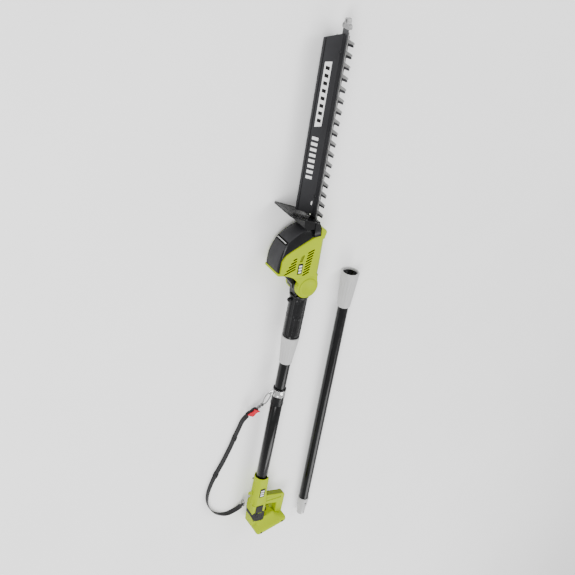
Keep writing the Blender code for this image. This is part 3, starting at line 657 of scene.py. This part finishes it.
def make_pole():
    tube = [(POLE_FRONT, POLE_RADIUS), (POLE_REAR + 1, POLE_RADIUS), (POLE_REAR, 16), (POLE_REAR, 15),
            (POLE_FRONT, 15)]
    solid("pole_upper", turned(tube, 96), TOOL, "black_pole", "pole", ["pole_tube"])
    sleeve = [(-418, POLE_FIT), (-418, 17.5), (-419, 18), (-702, 18), (-703, 17.5), (-703, POLE_FIT)]
    solid("pole_lower", turned(sleeve, 96), TOOL, "black_pole", "pole", ["pole_sleeve"])
    clamp = [(-357, POLE_FIT), (-357, 18.8), (-357.8, 19.5), (-360.6, 19.5), (-361.2, 18.9), (-361.2, 18.2),
             (-384.8, 18.2), (-384.8, 18.9), (-385.4, 19.5), (-388, 19.5), (-389, 18.6), (-411, 18.6),
             (-412, 19.5), (-415.7, 19.5), (-416.5, 18.8), (-416.5, POLE_FIT)]
    solid("clamp_sleeve", turned(clamp, 96), TOOL, "black_plastic", "pole", ["strap_clamp"])
    band = [(-361.6, 18.5), (-361.6, 19.6), (-362.2, 20), (-366, 20), (-366.8, 19.6), (-379.2, 19.6),
            (-380, 20), (-383.9, 20), (-384.5, 19.6), (-384.5, 18.5)]
    ring = solid("clamp_ring", turned(band, 96), TOOL, "bright_metal", "pole", ["clamp_band"])
    plate = [(-379, 19), (-379, 31), *arc(CLAMP_LUG[:2], 7, 170, 10, 10), (-363, 31), (-363, 19)]
    carve(ring, [cutter(prism(plate, -LUG_THICK / 2, LUG_THICK / 2), TOOL)], "UNION")
    carve(ring, [cutter(bar((-6, 6), 4.5, "Z", CLAMP_LUG), TOOL)])
    soften(ring, 0.3)
    gland = [(-703.5, POLE_FIT), (-703.5, 17.6), (-705, 18.3), (-717.5, 18.3), (-717.5, POLE_FIT)]
    solid("pole_gland_ring", turned(gland, 72), TOOL, "black_plastic", "pole", ["pole_gland"])


def make_front_grip():
    outer = [(-34.2, 26), (-35, 27.4), (-36.2, 28), (-39.6, 28), (-41.5, 27), (-43.5, 24.6), (-48, 24.2)]
    outer += [(x, 24.6) for x in stepped(-50.2, -100, 16)] + [(-101.5, 24.9), (-108.5, 24.9)]
    outer += [(x, 24.6) for x in stepped(-110, -165.8, 18)]
    outer += [(-168, 24.4), (-170, 25.4), (-173.5, 25.4), (-175, 24), (-175, POLE_FIT), (-34.2, POLE_FIT)]
    ribbed = turned(outer, 120, flutes=grip_ribs)
    grip = solid("grip_ribbed", ribbed, TOOL, "black_plastic", "head_section", ["front_grip"], sharp=40)
    boss = [(20, 0), (20, 6), (31, 6.5), (33.5, 6), (35.2, 4), (36, 0)]
    carve(grip, [cutter(turned(boss, 32, "Y", (-52, 0, 0)), TOOL)], "UNION")
    profile = [(-175.6, 21.2), (-175.6, 24), (-176.6, 25.4), (-179, 26), (-182, 26), (-184, 25.2)]
    profile += [(x, 25.4 - 6.4 * ((-186 - x) / 72) ** 1.1) for x in stepped(-186, -258, 24)]
    profile += [(-262, 19.2), (-265, 18.8), (-266, 18.2), (-266, POLE_FIT), (-207, POLE_FIT), (-207, 21.2)]
    fluted = turned(profile, 144, flutes=collar_flutes(18, -186, -262, FLUTE_DEPTH))
    solid("collar_fluted", fluted, TOOL, "grey_plastic", "tool_collar", ["tool_collar"], sharp=40)


def make_yoke():
    """The black hinge yoke between the head's two ears, with a neck into the grip and the hinge's pin."""
    plate = arc((0, 0), 29, -114, 114, 60) + [(-33.6, 25), (-33.6, -25)]
    tongue = solid("yoke_plate", prism(plate, -16, 16), TOOL, "black_plastic", "head_section", ["yoke"])
    settle(soften(tongue, 1.2, 3))
    carve(tongue, [cutter(turned([(-60, 8), (-60, 14.6), (-20, 14.6), (-20, 8)], 72), TOOL)], "UNION")
    carve(tongue, [cutter(bar((-40, 40), PIN_BORE, "Z"), TOOL)])
    pin = [(-28, 0), (-28, 5.2), (-27.2, 6), (27.2, 6), (28, 5.2), (28, 0)]
    solid("hinge_pin", turned(pin, 48, "Z"), TOOL, "dark_steel", "head_section", ["pivot_pin"])


def make_extension():
    profile = [(0, 22.2), (0, 25.6), (-1, 26.6), (-3, 27), (-9, 27), (-11, 26.4)]
    profile += [(x, 26.4 - 5.6 * ((-13 - x) / 86) ** 1.05) for x in stepped(-13, -99, 26)]
    profile += [(-104, 20.4), (-113, 19.6), (-116, 18.4), (-116, 16.5), (-62, 16.5), (-62, 22.2)]
    fluted = turned(profile, 144, flutes=collar_flutes(16, -13, -104, FLUTE_DEPTH))
    solid("extension_collar_fluted", fluted, EXT, "grey_plastic", "extension_collar", ["extension_collar"],
          sharp=40)
    thread = []
    for k in range(40):
        station = -6 - k * 1.25
        thread.append((station, 19 + 4 * station / 50 - (0.9 if k % 3 == 0 else 0)))
    liner = [(-56, 21.4), (-6, 21.4)] + thread + [(-56, 15)]
    threads = turned(liner, 72)
    solid("extension_socket_threads", threads, EXT, "black_plastic", "extension", ["extension_socket"])
    tube = [(-57, 16), (-880, 16), (-880, 14.5), (-57, 14.5)]
    solid("extension_tube_coated", turned(tube, 96), EXT, "black_pole", "extension", ["extension_tube"])
    plug = [(-852, 8), (-852, 13.9), (-880.3, 13.9), (-880.3, 17.6), (-881, 18), (-885.6, 18), (-886.6, 17.2),
            (-900, 17), (-913.5, 16.6), (-915.5, 15.6), (-917, 14), (-938, 13.6), (-940, 12.2), (-943, 12.2),
            (-944.5, 13), (-950, 12.9), (-952, 12), (-952, 8)]
    plug = turned(plug, 96)
    body = solid("extension_plug_body", plug, EXT, "grey_plastic", "extension", ["extension_plug"])
    button_at = (-899, 0, 0)
    cuts = (bar((5, 25), 3.3, "Z", button_at), block((-956, -939), (-3, 3), (4, 20)))
    carve(body, [cutter(cut, EXT) for cut in cuts])
    soften(body, 0.3, sharp=40)
    dome = [(10, 0), (10, 2.9), (16.6, 3), (17.4, 2.4), (18.1, 1.2), (18.3, 0)]
    solid("extension_button_dome", turned(dome, 40, "Z", button_at), EXT, "dark_steel", "extension_button",
          ["extension_button"])


# --- Rear handle

LOCK_AT = (-845, 4, 0)
FOOT_SECTIONS = (
    (-1, (-54.5, 49.5), 40, 9), (0.5, (-56, 51.5), 42.2, 10), (2, (-57, 52.5), 43, 11),
    (9, (-57.5, 52.5), 43, 12), (11.5, (-56.5, 51.8), 41.6, 13), (15, (-52, 50), 37.5, 14),
    (19, (-45, 47), 33, 14), (24, (-37, 43), 28, 13), (29, (-31, 40), 23.5, 11), (34, (-28, 38), 20.5, 9),
    (40, (-26, 37), 18.5, 7),
)


def half_space(side, reach):
    """A block over the other half of a shell, which leaves a narrow seam on the middle plane."""
    low, high = sorted((side * 0.15, -side * 80))
    return block(reach, (-200, 200), (low, high))


def trunk():
    """Six-sided trunk: flat near and far faces, slanted facets towards the strap's side."""
    rings = []
    sections = ((-697.5, -17, 11, 20, 20), (-700, -18, 12, 21, 21), (-752, -20, 12, 22, 21),
                (-803, -27, 12, 22, 21), (-809, -27, 12, 22, 20))
    for x, low, flat, out, half in sections:
        outline = [(low + 4, half), (flat, half), (out, half * 0.42), (out, -half * 0.42), (flat, -half),
                   (low + 4, -half), (low, -half + 5), (low, half - 5)]
        rings.append(at_x(outline, x))
    return loft(rings)


def foot(lift=0.0):
    """The battery foot flares from the grip to its rim; in the dock's frame X runs up from the underside."""
    return loft([at_x(rounded(y, (-half, half), r, 8), x + lift) for x, y, half, r in FOOT_SECTIONS])


def loop_outline():
    """The guard loop: an arm out from the trunk, a rounded corner and a post down to the foot."""
    outer = [(-779, -10), (-781, -24), *arc((-803.5, -86), 13.6, 12, -78, 10), (-884, -98.8)]
    return outer + [(-884, -73), *arc((-829.5, -67.5), 4.6, -90, 0, 6), (-820, -30), (-817, -10)]


def control_ways():
    """Cutters that leave room for the trigger and for the lock-off button."""
    ways = (block((-860, -834), (-40, -10), (-5.6, 5.6)), bar((-30, 30), 6.4, "Z", LOCK_AT))
    return [cutter(way, TOOL) for way in ways]


def make_rear_shells():
    core = prism([(-800, -24), (-800, 20), (-890, 17), (-890, -27)], -18, 18)
    facet = [(-794, -22), (-797, -84), (-806, -85), (-808, -22)]
    mouth = [(-690, 0), (-690, 24), (-699, 20.4), (-710, 18.6), (-718, 18.6), (-718, POLE_FIT),
             (-738, POLE_FIT), (-738, 0)]
    dock = loft([at_x(rounded((-36, 36), (-24, 24), 4), x) for x in (-12, 20)])
    wiring, dock_way = block((-876, -734), (-17, 16), (-14, 14)), block((-892, -870), (-16, 4), (-8, 8))
    for tag, side in SIDES:
        shell = solid(f"rear_shell_{tag}", trunk(), TOOL, "lime_plastic", "pole", [f"rear_housing_{tag}"])
        settle(soften(shell, 1.6, 3, 20))
        loop = settle(soften(cutter(prism(loop_outline(), -12, 12), TOOL), 3.6, 5, 40))
        carve(loop, [cutter(prism(facet, low, high), TOOL) for low, high in ((9.8, 30), (-30, -9.8))])
        for added in (cutter(core, TOOL), loop, cutter(foot(), DOCK)):
            carve(shell, [added], "UNION")
        rooms = [cutter(room, place) for room, place in ((turned(mouth), TOOL), (wiring, TOOL), (dock, DOCK))]
        rooms += [cutter(dock_way, TOOL), *control_ways(), cutter(half_space(side, (-1000, -600)), TOOL)]
        carve(shell, rooms)


def make_overmould():
    """Rubber sleeve round the grip: a waist at the guard loop's arm, then a palm swell down to the foot."""
    sections = ((-809.5, -25, 19, 20.4), (-811, -25.6, 20, 21.2), (-830, -25.6, 20, 21.2),
                (-834, -27, 21.4, 21.5), (-843, -28.4, 21.6, 21.5), (-856, -29.5, 21.6, 21.5),
                (-868, -30.2, 21, 21.5), (-884, -30.6, 20.6, 21.5), (-890, -30.4, 20, 21))
    sleeve = loft([at_x(rounded((low, high), (-half, half), 9, 6), x) for x, low, high, half in sections])
    wrap = solid("grip_rubber", sleeve, TOOL, "soft_rubber", "pole", ["grip_overmould"], sharp=50)
    hollow = [(-800, -24.2), (-800, 20.3), (-895, 17.2), (-895, -27.4)]
    bulb = [(-843, 23), (-853, 20), (-863, 15), (-870, 8), (-873, 0), (-874, -30), (-900, -30), (-900, 40),
            (-843, 40)]
    outer_corner = [(-805, 10), (-836, 10), (-840, 22), (-840, 40), (-805, 40)]
    inner_corner = [(-805, -15), (-836, -15), (-840, -27), (-840, -40), (-805, -40)]
    carve(wrap, [
        cutter(prism(hollow, -18.3, 18.3), TOOL),
        cutter(block((-829, -790), (-60, -21.5), (-14, 14)), TOOL),
        cutter(foot(0.5), DOCK),
        *control_ways(),
        cutter(block((-840.5, -838), (-13, 9), (-40, 40)), TOOL, "lime_plastic"),
        *(cutter(prism(line, -40, 40), TOOL) for line in (outer_corner, bulb, inner_corner)),
    ])
    skin = [(-806, -23.9), (-806, 21.6), (-841, 20.6), (-841, -24.2)]
    neck = solid("grip_neck_lime", prism(skin, -19.6, 19.6), TOOL, "lime_plastic", "pole")
    carve(neck, [cutter(prism(hollow, -18.2, 18.2), TOOL)])
    soften(neck, 0.6)
    for k in range(5):
        y = -17 + 7 * k
        for tag, side in SIDES:
            ridge = block((-876 + 1.1 * k, -850), (y, y + 1.6), sorted((side * 20.6, side * 22.4)))
            solid(f"grip_ridge_{k}_{tag}", ridge, TOOL, "soft_rubber", "pole", bevel=0.6)


def make_rear_controls():
    press = [(-836, -27), (-838, -36), (-841, -39.5), (-847, -41.6), (-853, -42), (-857, -40), (-858.6, -35),
             (-858, -27), (-855, -15), (-839, -15)]
    solid("trigger_lever", prism(press, -4.8, 4.8), TOOL, "black_plastic", "trigger", ["trigger"], bevel=1.2,
          segments=4)
    button = [(14.5, 0), (14.5, 5.9), (23.2, 5.9), (24, 5.4), (24.4, 4.2), (24, 2.5), (23.7, 0)]
    cap = turned(button, 40, "Z", LOCK_AT)
    solid("lock_off_cap", cap, TOOL, "soft_rubber", "lock_off", ["lock_off_button"])
    badge = block((-771, -737), (-9, 8), (21.3, 22.2))
    solid("rear_badge_plate", badge, TOOL, "badge_dark", "pole", ["rear_badge"], bevel=0.35, segments=2)
    for k in range(3):
        mark = block((-767 + 9 * k, -762 + 9 * k), (-6.5, 5.5), (22.1, 22.4))
        solid(f"rear_badge_mark_{k}", mark, TOOL, "white_print", "pole")
    # A thin sheet of the darker lime on the loop arm's face: painted shade on what is the same lime plastic.
    panel = [(-780.2, -24), (-789.4, -83.2), (-789.4, -87), (-791.6, -93.5), (-796, -92), (-794, -84),
             (-785, -24)]
    solid("loop_shade_patch", prism(panel, -9.5, 9.5), TOOL, "lime_painted_shade", "pole", bevel=0.5)
    dot = [(42, 0), (42, 3.4), (43.8, 3.4), (44.4, 2.6), (44.4, 0)]
    for k, y in enumerate((-40, 38)):
        solid(f"foot_dot_{k}", turned(dot, 24, "Z", (5, y, 0)), DOCK, "black_plastic", "pole")
    lug = [(-770, 18), (-769, 33), *arc((-763, 31.5), 5.6, 170, 10, 10), (-757, 33), (-756, 18)]
    shackle = solid("rear_strap_lug", prism(lug, -2, 2), TOOL, "lime_plastic", "pole", ["strap_lug"])
    carve(shackle, [cutter(bar((-6, 6), 2.6, "Z", (-763, 31.6, 0)), TOOL)])
    soften(shackle, 0.7)


# --- Head

HEAD_DEPTH, EAR_IN, EAR_OUT, PIN_BORE = 36, 16.6, 31, 6.3
VENT_WIDTH = 4.2


def head_outline():
    nose = [(30, -25), (145, -24), (168, -29), (174, -26), (183.5, -9), (183.5, -2), (161, -1)]
    slope = [(147, 27), (122, 74), (113, 89), (96, 99), (60, 100)]
    neck = [(49, 80), (44, 65), (36, 50), (36, 0)]
    return nose + slope + neck


def vent(start, end, side):
    """A cutter for a round-ended vent slot through one side of the head."""
    ahead = (Vector(end) - Vector(start)).normalized()
    turn = math.degrees(math.atan2(ahead.y, ahead.x))
    radius = VENT_WIDTH / 2
    outline = arc(start, radius, turn + 90, turn + 270, 8) + arc(end, radius, turn - 90, turn + 90, 8)
    low, high = sorted((side * (EAR_OUT - 2), side * (HEAD_DEPTH + 4)))
    # The slot's walls take the near-black badge look: painted shade inside the vent, on what is lime plastic.
    return cutter(prism(outline, low, high), HEAD, "badge_dark")


def vent_lines():
    """Each side's two vent groups: long slots that end on one line, and a row of short ones under them."""
    lines = []
    for k in range(5):
        start = Vector((56 + 10.2 * k, 86 - 5.6 * k))
        lines.append((start, Vector((start.x + 0.41 * (start.y - 56), 56))))
    for k in range(9):
        lines.append((Vector((46 + 8.3 * k, 27 - 0.8 * k)), Vector((53 + 8.3 * k, 11 - 0.8 * k))))
    return lines


def make_head_shells():
    hollow = [(46, -19), (144, -18), (164, -22), (168, -14), (158, -6), (143, 22), (117, 70), (109, 83),
              (94, 92), (64, 92), (55, 76), (46, 56)]
    ear_outline = arc((0, 0), 33.5, 62, 298, 60) + [(40, -25), (52, -20), (52, 50), (40, 56)]
    recess = [(88, 45), (104, 41), (108, 36), (108, 31), (88, 36)]
    step = [(31.3, 0), (31.3, 27), (32.6, 27), (33.6, 26), (34, 24.8), (34, 20.4), (33.4, 19.6), (33, 18.6),
            (33, 4), (32.6, 3.2), (32.6, 0)]
    for tag, side in SIDES:
        whole = prism(head_outline(), -HEAD_DEPTH, HEAD_DEPTH)
        shell = solid(f"head_shell_{tag}", whole, HEAD, "lime_plastic", "head", [f"head_housing_{tag}"])
        settle(soften(shell, 4, 6, 50))
        ear = settle(soften(cutter(prism(ear_outline, -EAR_OUT, EAR_OUT), HEAD), 1.6, 3, 40))
        carve(shell, [ear], "UNION")
        yoke_room = block((-50, 36), (-60, 60), (-EAR_IN, EAR_IN))
        channel = block((92, 210), (-7.2, 4.4), (-20, 20))
        pin_hole = bar((-EAR_OUT + 2.7, EAR_OUT - 2.7), PIN_BORE, "Z")
        rooms = (half_space(side, (-60, 220)), yoke_room, prism(hollow, -EAR_OUT, EAR_OUT), channel, pin_hole)
        carve(shell, [cutter(room, HEAD) for room in rooms])
        carve(shell, [vent(start, end, side) for start, end in vent_lines()])
        low, high = sorted((side * (HEAD_DEPTH - 1.2), side * (HEAD_DEPTH + 4)))
        # The recess's floor and walls take the darker lime: painted shade in the recess.
        carve(shell, [cutter(prism(recess, low, high), HEAD, "lime_painted_shade")])
        wedge = [(-44, side * 15.3), (0, side * 46.7), (-44, side * 46.7)]
        carve(shell, [cutter(prism(wedge, 40, 150, "YZ"), HEAD, "lime_plastic")])
        disc = turned([(side * s, r) for s, r in step], 96, "Z")
        solid(f"knuckle_disc_{tag}", disc, HEAD, "lime_plastic", "head", [f"knuckle_cap_{tag}"])


def between(first, second, share):
    return [Vector(a).lerp(Vector(b), share) for a, b in zip(first, second)]


def strip(centre, outward, along, halves, reach):
    """A thin bar across the head, set square to two directions."""
    signs = ((-1, -1), (1, -1), (1, 1), (-1, 1))
    corners = [centre + outward * a * halves[0] + along * b * halves[1] for a, b in signs]
    return prism([(corner.x, corner.y) for corner in corners], -reach, reach)


def make_cover():
    """The dark cover swells forward from a band at each edge to the full curve in the middle."""
    inner_points = ((162, 5.6, 0), (148, 29, 0), (123, 76, 0), (112, 91.5, 0), (97, 101.2, 0), (60, 102.2, 0))
    outer_points = ((176, 5.6, 0), (181, 10, 0), (181.6, 24, 0), (176, 48, 0), (156, 78, 0), (134, 94.4, 0),
                    (98, 104.6, 0), (68, 107.4, 0), (60, 105.4, 0))
    inner, outer = curve_through(inner_points, 9), curve_through(outer_points, 6)
    rim = []
    for k in range(len(outer)):
        share = k / (len(outer) - 1) * (len(inner) - 1)
        rim.append(inner[int(share)].lerp(inner[min(int(share) + 1, len(inner) - 1)], share % 1))

    def ring(front, z):
        return [(p.x, p.y, z) for p in [*front, *reversed(inner)]]

    swell = [(-33, 0.2), (-32, 0.36), (-30, 0.62), (-26, 0.83), (-20, 0.94), (-10, 0.99)]
    swell += [(0, 1)] + [(-z, share) for z, share in reversed(swell)]
    shell = loft([ring(between(rim, outer, share), z) for z, share in swell])
    cover = solid("cover_shell", shell, HEAD, "charcoal_plastic", "head", ["motor_cover"], sharp=38)
    for tag, side in SIDES:
        band = []
        for z, share in ((33.15, 0.22), (32.1, 0.4), (30.1, 0.66), (27, 0.82)):
            front = between(rim, outer, share)
            steps = [p - q for p, q in zip(front, rim)]
            lifted = [p + s.normalized() * 0.3 if s.length > 0.01 else p for p, s in zip(front, steps)]
            band.append(ring(lifted, side * z))
        solid(f"cover_band_{tag}", loft(band), HEAD, "black_plastic", "head", sharp=38)
    heel = prism([(48.6, 80), (52.6, 104.4), (56, 107.4), (62.5, 107.8), (60.5, 100), (54, 80)], -33.4, 33.4)
    solid("cover_heel", heel, HEAD, "lime_plastic", "head", bevel=1.4)
    space = [(109, 81), (118, 65), (142, 21), (155, -1), (165, 5), (172, 23), (168, 43), (148, 71), (129, 87),
             (119, 92)]
    carve(cover, [cutter(prism(space, -25, 25), HEAD)])
    centre, along, outward = Vector((143, 87, 0)), Vector((0.62, -0.78, 0)), Vector((0.61, 0.79, 0))
    # The groove round the trim strip takes the near-black badge look: painted shade in the groove of the charcoal
    # cover.
    carve(cover, [cutter(strip(centre + outward * 0.5, outward, along, (3, 6), 25.5), HEAD, "badge_dark")])
    trim = strip(centre - outward * 0.1, outward, along, (1, 1.6), 22)
    solid("cover_strip", trim, HEAD, "bright_metal", "head", ["cover_trim"], bevel=0.4)


def make_guard():
    """A leaning plate with a rolled edge and a shallow curve, on a foot that wraps the housing's nose."""
    rings = []
    base, tip = Vector((200, 3, 0)), Vector((235, 102, 0))
    ahead = (tip - base).normalized()
    outward = Vector((ahead.y, -ahead.x, 0))
    plan = ((-2, 36, 4), (4, 40, 4), (10, 44.5, 4), (18, 46.6, 3.4), (60, 46.6, 3.4), (92, 46.6, 3.6),
            (99, 46, 4.6), (103, 43, 4.6), (105.5, 38, 3.4))
    for run, half, thick in plan:
        row = [base + ahead * run + Vector((0, 0, -half + half * k / 8)) for k in range(17)]
        front = [p + outward * (thick / 2 * (1 if abs(p.z) > half - 5 else 0.45)) for p in row]
        rings.append(front + [p - outward * (thick / 2) for p in reversed(row)])
    guard = solid("guard_plate", loft(rings), HEAD, "black_plastic", "head", ["hand_guard"], sharp=40)
    heel = cutter(prism([(184.5, 5), (204, 3), (206, 12), (197, 16), (184.5, 13)], -39.6, 39.6), HEAD)
    gusset = cutter(prism([(183, 5), (183.6, 40), (192, 50), (215, 52), (203, 5)], -38, 38), HEAD)
    skirt = cutter(prism([(162, -7), (184, -5), (203, 4), (204, 16), (160, 14)], -40, 40), HEAD)
    carve(skirt, [cutter(block((150, 184.4), (-40, 20), (-36.6, 36.6)), HEAD)])
    for added in (heel, gusset, skirt):
        carve(guard, [added], "UNION")
    carve(guard, [cutter(block((183, 215), (-10, 9.5), (-15.5, 15.5)), HEAD)])
    soften(guard, 0.7, 3, 40)


# Blades and sweeper, which run along the head's X and lie flat across its Y.
TOOTH_PITCH, TOOTH_COUNT, SPINE_HALF = 28.1, 17, 12
BOLTS_AT = (260, 640)
BOLT_LEVEL = -3.5


def toothed(first, end, reach, tip):
    """A blade's plan: a spine with round-ended teeth on both sides."""
    base = 4.6
    half = [(112, SPINE_HALF)]
    for tooth in range(TOOTH_COUNT):
        centre = first + tooth * TOOTH_PITCH
        half += [(centre - base - 2.2, SPINE_HALF), (centre - base, 13.6)]
        half += arc((centre, reach - tip), tip, 176, 4, 7)
        half += [(centre + base, 13.6), (centre + base + 2.2, SPINE_HALF)]
    return mirrored(half + [(end, SPINE_HALF)])


def make_blades():
    upper = prism(toothed(221, 690, 39, 2.9), -2.9, -0.75, "XZ")
    solid("blade_long_teeth", upper, HEAD, "blade_steel", "upper_blade", ["upper_blade"], 0.55, 1)
    lower = prism(toothed(213.5, 682.5, 34, 2.8), -5.4, -3.25, "XZ")
    solid("blade_short_teeth", lower, HEAD, "dark_steel", "lower_blade", ["lower_blade"], 0.55, 1)
    spine = prism(mirrored([(160, 9), (170, 11), (696, 11)]), -0.4, 2.6, "XZ")
    # The bar takes the near-black look: painted shade under the sweeper's lip.
    solid("blade_spine_bar", spine, HEAD, "bar_lip_shade", "head", ["blade_bar"], bevel=0.7)
    bolt = [(2.9, 0), (2.9, 4), (4.6, 4), (5.3, 3.2), (5.3, 1.7), (4.3, 1.6), (4.3, 0)]
    for number, x in enumerate(BOLTS_AT, 1):
        bolt_head = turned(bolt, 36, "Y", (x, 0, BOLT_LEVEL))
        solid(f"bolt_head_{number}", bolt_head, HEAD, "dark_steel", "head", [f"blade_bolt_{number}"])
    plan = [(696.4, 12.4), (699, 14), (703, 15), (706, 14), (708.4, 11.4), (710, 8.6), (712, 8), (718, 8),
            (721, 6.4), (722, 3.6)]
    tip = solid("tip_nose", prism(mirrored(plan), -6.1, 3.9, "XZ"), HEAD, "cast_alloy", "head", ["tip_guard"])
    grooves = [block((699.4 + 3.2 * k, 700.8 + 3.2 * k), (3, 9), (-12, 12)) for k in range(3)]
    carve(tip, [cutter(cut, HEAD) for cut in (bar((-12, 12), 4, "Y", (714.5, 0, 0)), *grooves)])
    soften(tip, 0.7, 3)


def patch(name, outline, proud, look):
    """A thin printed shape that follows the sweeper's sloping face."""
    def make(shape):
        def face(y):
            return -2.6 - (y - 12) * 0.106 if y < 30 else -4.5 - (y - 30) * 0.028

        rows = [[shape.verts.new((x, y, face(y) + level)) for x, y in outline] for level in (-0.6, proud)]
        shape.faces.new(rows[0])
        shape.faces.new(rows[1])
        for i in range(len(outline)):
            j = (i + 1) % len(outline)
            shape.faces.new((rows[0][j], rows[0][i], rows[1][i], rows[1][j]))

    solid(name, make, HEAD, look, "head")


def make_sweeper():
    """The sweeper's wall leans over the blade and ends in a rolled lip; plain slanted bars mark its face."""
    section = [(3.4, 1.2), (3.4, 8.3), (4.6, 8.3), (5.2, 4), (6.2, -0.4), (12, -2.6), (30, -4.5), (48, -5),
               (53.6, -5.3), (55.8, -6.4), (56.6, -7.6), (55.4, -8.8), (52, -9), (44, -8.1), (30, -7.5),
               (12, -6.7), (3.4, -6.4)]
    rings = []
    for x, inset, lean in ((205.5, 0.5, 0.36), (207, 0, 0.36), (682, 0, -0.16), (683.6, 0.5, -0.16)):
        rings.append([(x + lean * y, y - (inset if y > 30 else 0), z) for y, z in section])
    wall = solid("sweeper_wall", loft(rings), HEAD, "sweeper_plastic", "head", ["debris_sweeper"], sharp=38)
    carve(wall, [cutter(bar((0, 8), 4.9, "Y", (x, 0, BOLT_LEVEL)), HEAD) for x in BOLTS_AT])
    patch("sweeper_panel", [(452, 22), (616, 22), (616, 42), (452, 42)], 0.12, "white_print")
    for k in range(8):
        x = 461 + 19 * k
        patch(f"sweeper_bar_{k}", [(x, 26), (x + 9, 26), (x + 13, 38), (x + 4, 38)], 0.5, "badge_dark")
    for k in range(8):
        x = 308 + 15 * k
        patch(f"sweeper_mark_{k}", [(x, 24), (x + 8, 24), (x + 14, 43), (x + 6, 43)], 0.12, "white_print")
    edge = curve_through([(226, 50.5, -4.7), (450, 50.5, -4.7), (673.5, 50.5, -4.7)], 40)
    solid("sweeper_bead", swept(edge, 0.9, 10), HEAD, "black_plastic", "head")
    clip = [(236, 8), (244, 8), (246, 11), (244, 14), (236, 14), (234, 11)]
    solid("sweeper_clip", prism(clip, -4.2, -1.9), HEAD, "white_print", "head", bevel=0.4)


def make_head_trim():
    for k in range(3):
        mark = block((55 + 9 * k, 60 + 9 * k), (35.5, 44.5), (HEAD_DEPTH + 1.1, HEAD_DEPTH + 1.4))
        solid(f"head_badge_mark_{k}", mark, HEAD, "white_print", "head")
    badge = block((51, 83), (33, 47), (HEAD_DEPTH + 0.3, HEAD_DEPTH + 1.2))
    solid("head_badge_plate", badge, HEAD, "badge_dark", "head", ["head_badge"], bevel=0.35, segments=2)
    lever = [(44.5, 69), (42, 71.6), (40, 72), (33, 66), (8, 42), (2, 40), (-4, 39), (-5.4, 37.2), (-4, 35.5),
             (10, 35.5), (20, 37.8), (26, 41), (35.6, 52), (43.4, 66)]
    solid("tilt_latch", prism(lever, -14, 14), HEAD, "black_plastic", "tilt_lever", ["tilt_lever"], bevel=1.3,
          segments=4)
    screw = [(36.3, 0), (36.3, 3.2), (37.4, 3.2), (38, 2.5), (38, 1.3), (37.3, 1.2), (37.3, 0)]
    for number, (x, y) in enumerate(((150, -14), (70, 91)), 1):
        screw_head = turned([(-s, r) for s, r in screw], 30, "Z", (x, y, 0))
        solid(f"head_screw_head_{number}", screw_head, HEAD, "dark_steel", "head", [f"head_screw_{number}"])


# --- Inner pieces and the whole

def dress_inner_pieces():
    """Every CAD piece that stays in the scene keeps its shape and takes the material of its slot."""
    for subpart in frame["record"]["subparts"]:
        holder = frame["nodes"][subpart["node"]].material_slots[0]
        holder.link = "OBJECT"
        holder.material = LOOKS[subpart["material_slot"]]


def main():
    dress_inner_pieces()
    make_pole()
    make_front_grip()
    make_yoke()
    make_extension()
    make_rear_shells()
    make_overmould()
    make_rear_controls()
    make_head_shells()
    make_cover()
    make_guard()
    make_blades()
    make_sweeper()
    make_head_trim()
    make_hook()
    make_strap()
    make_stage()
    make_light()
    make_camera()


main()
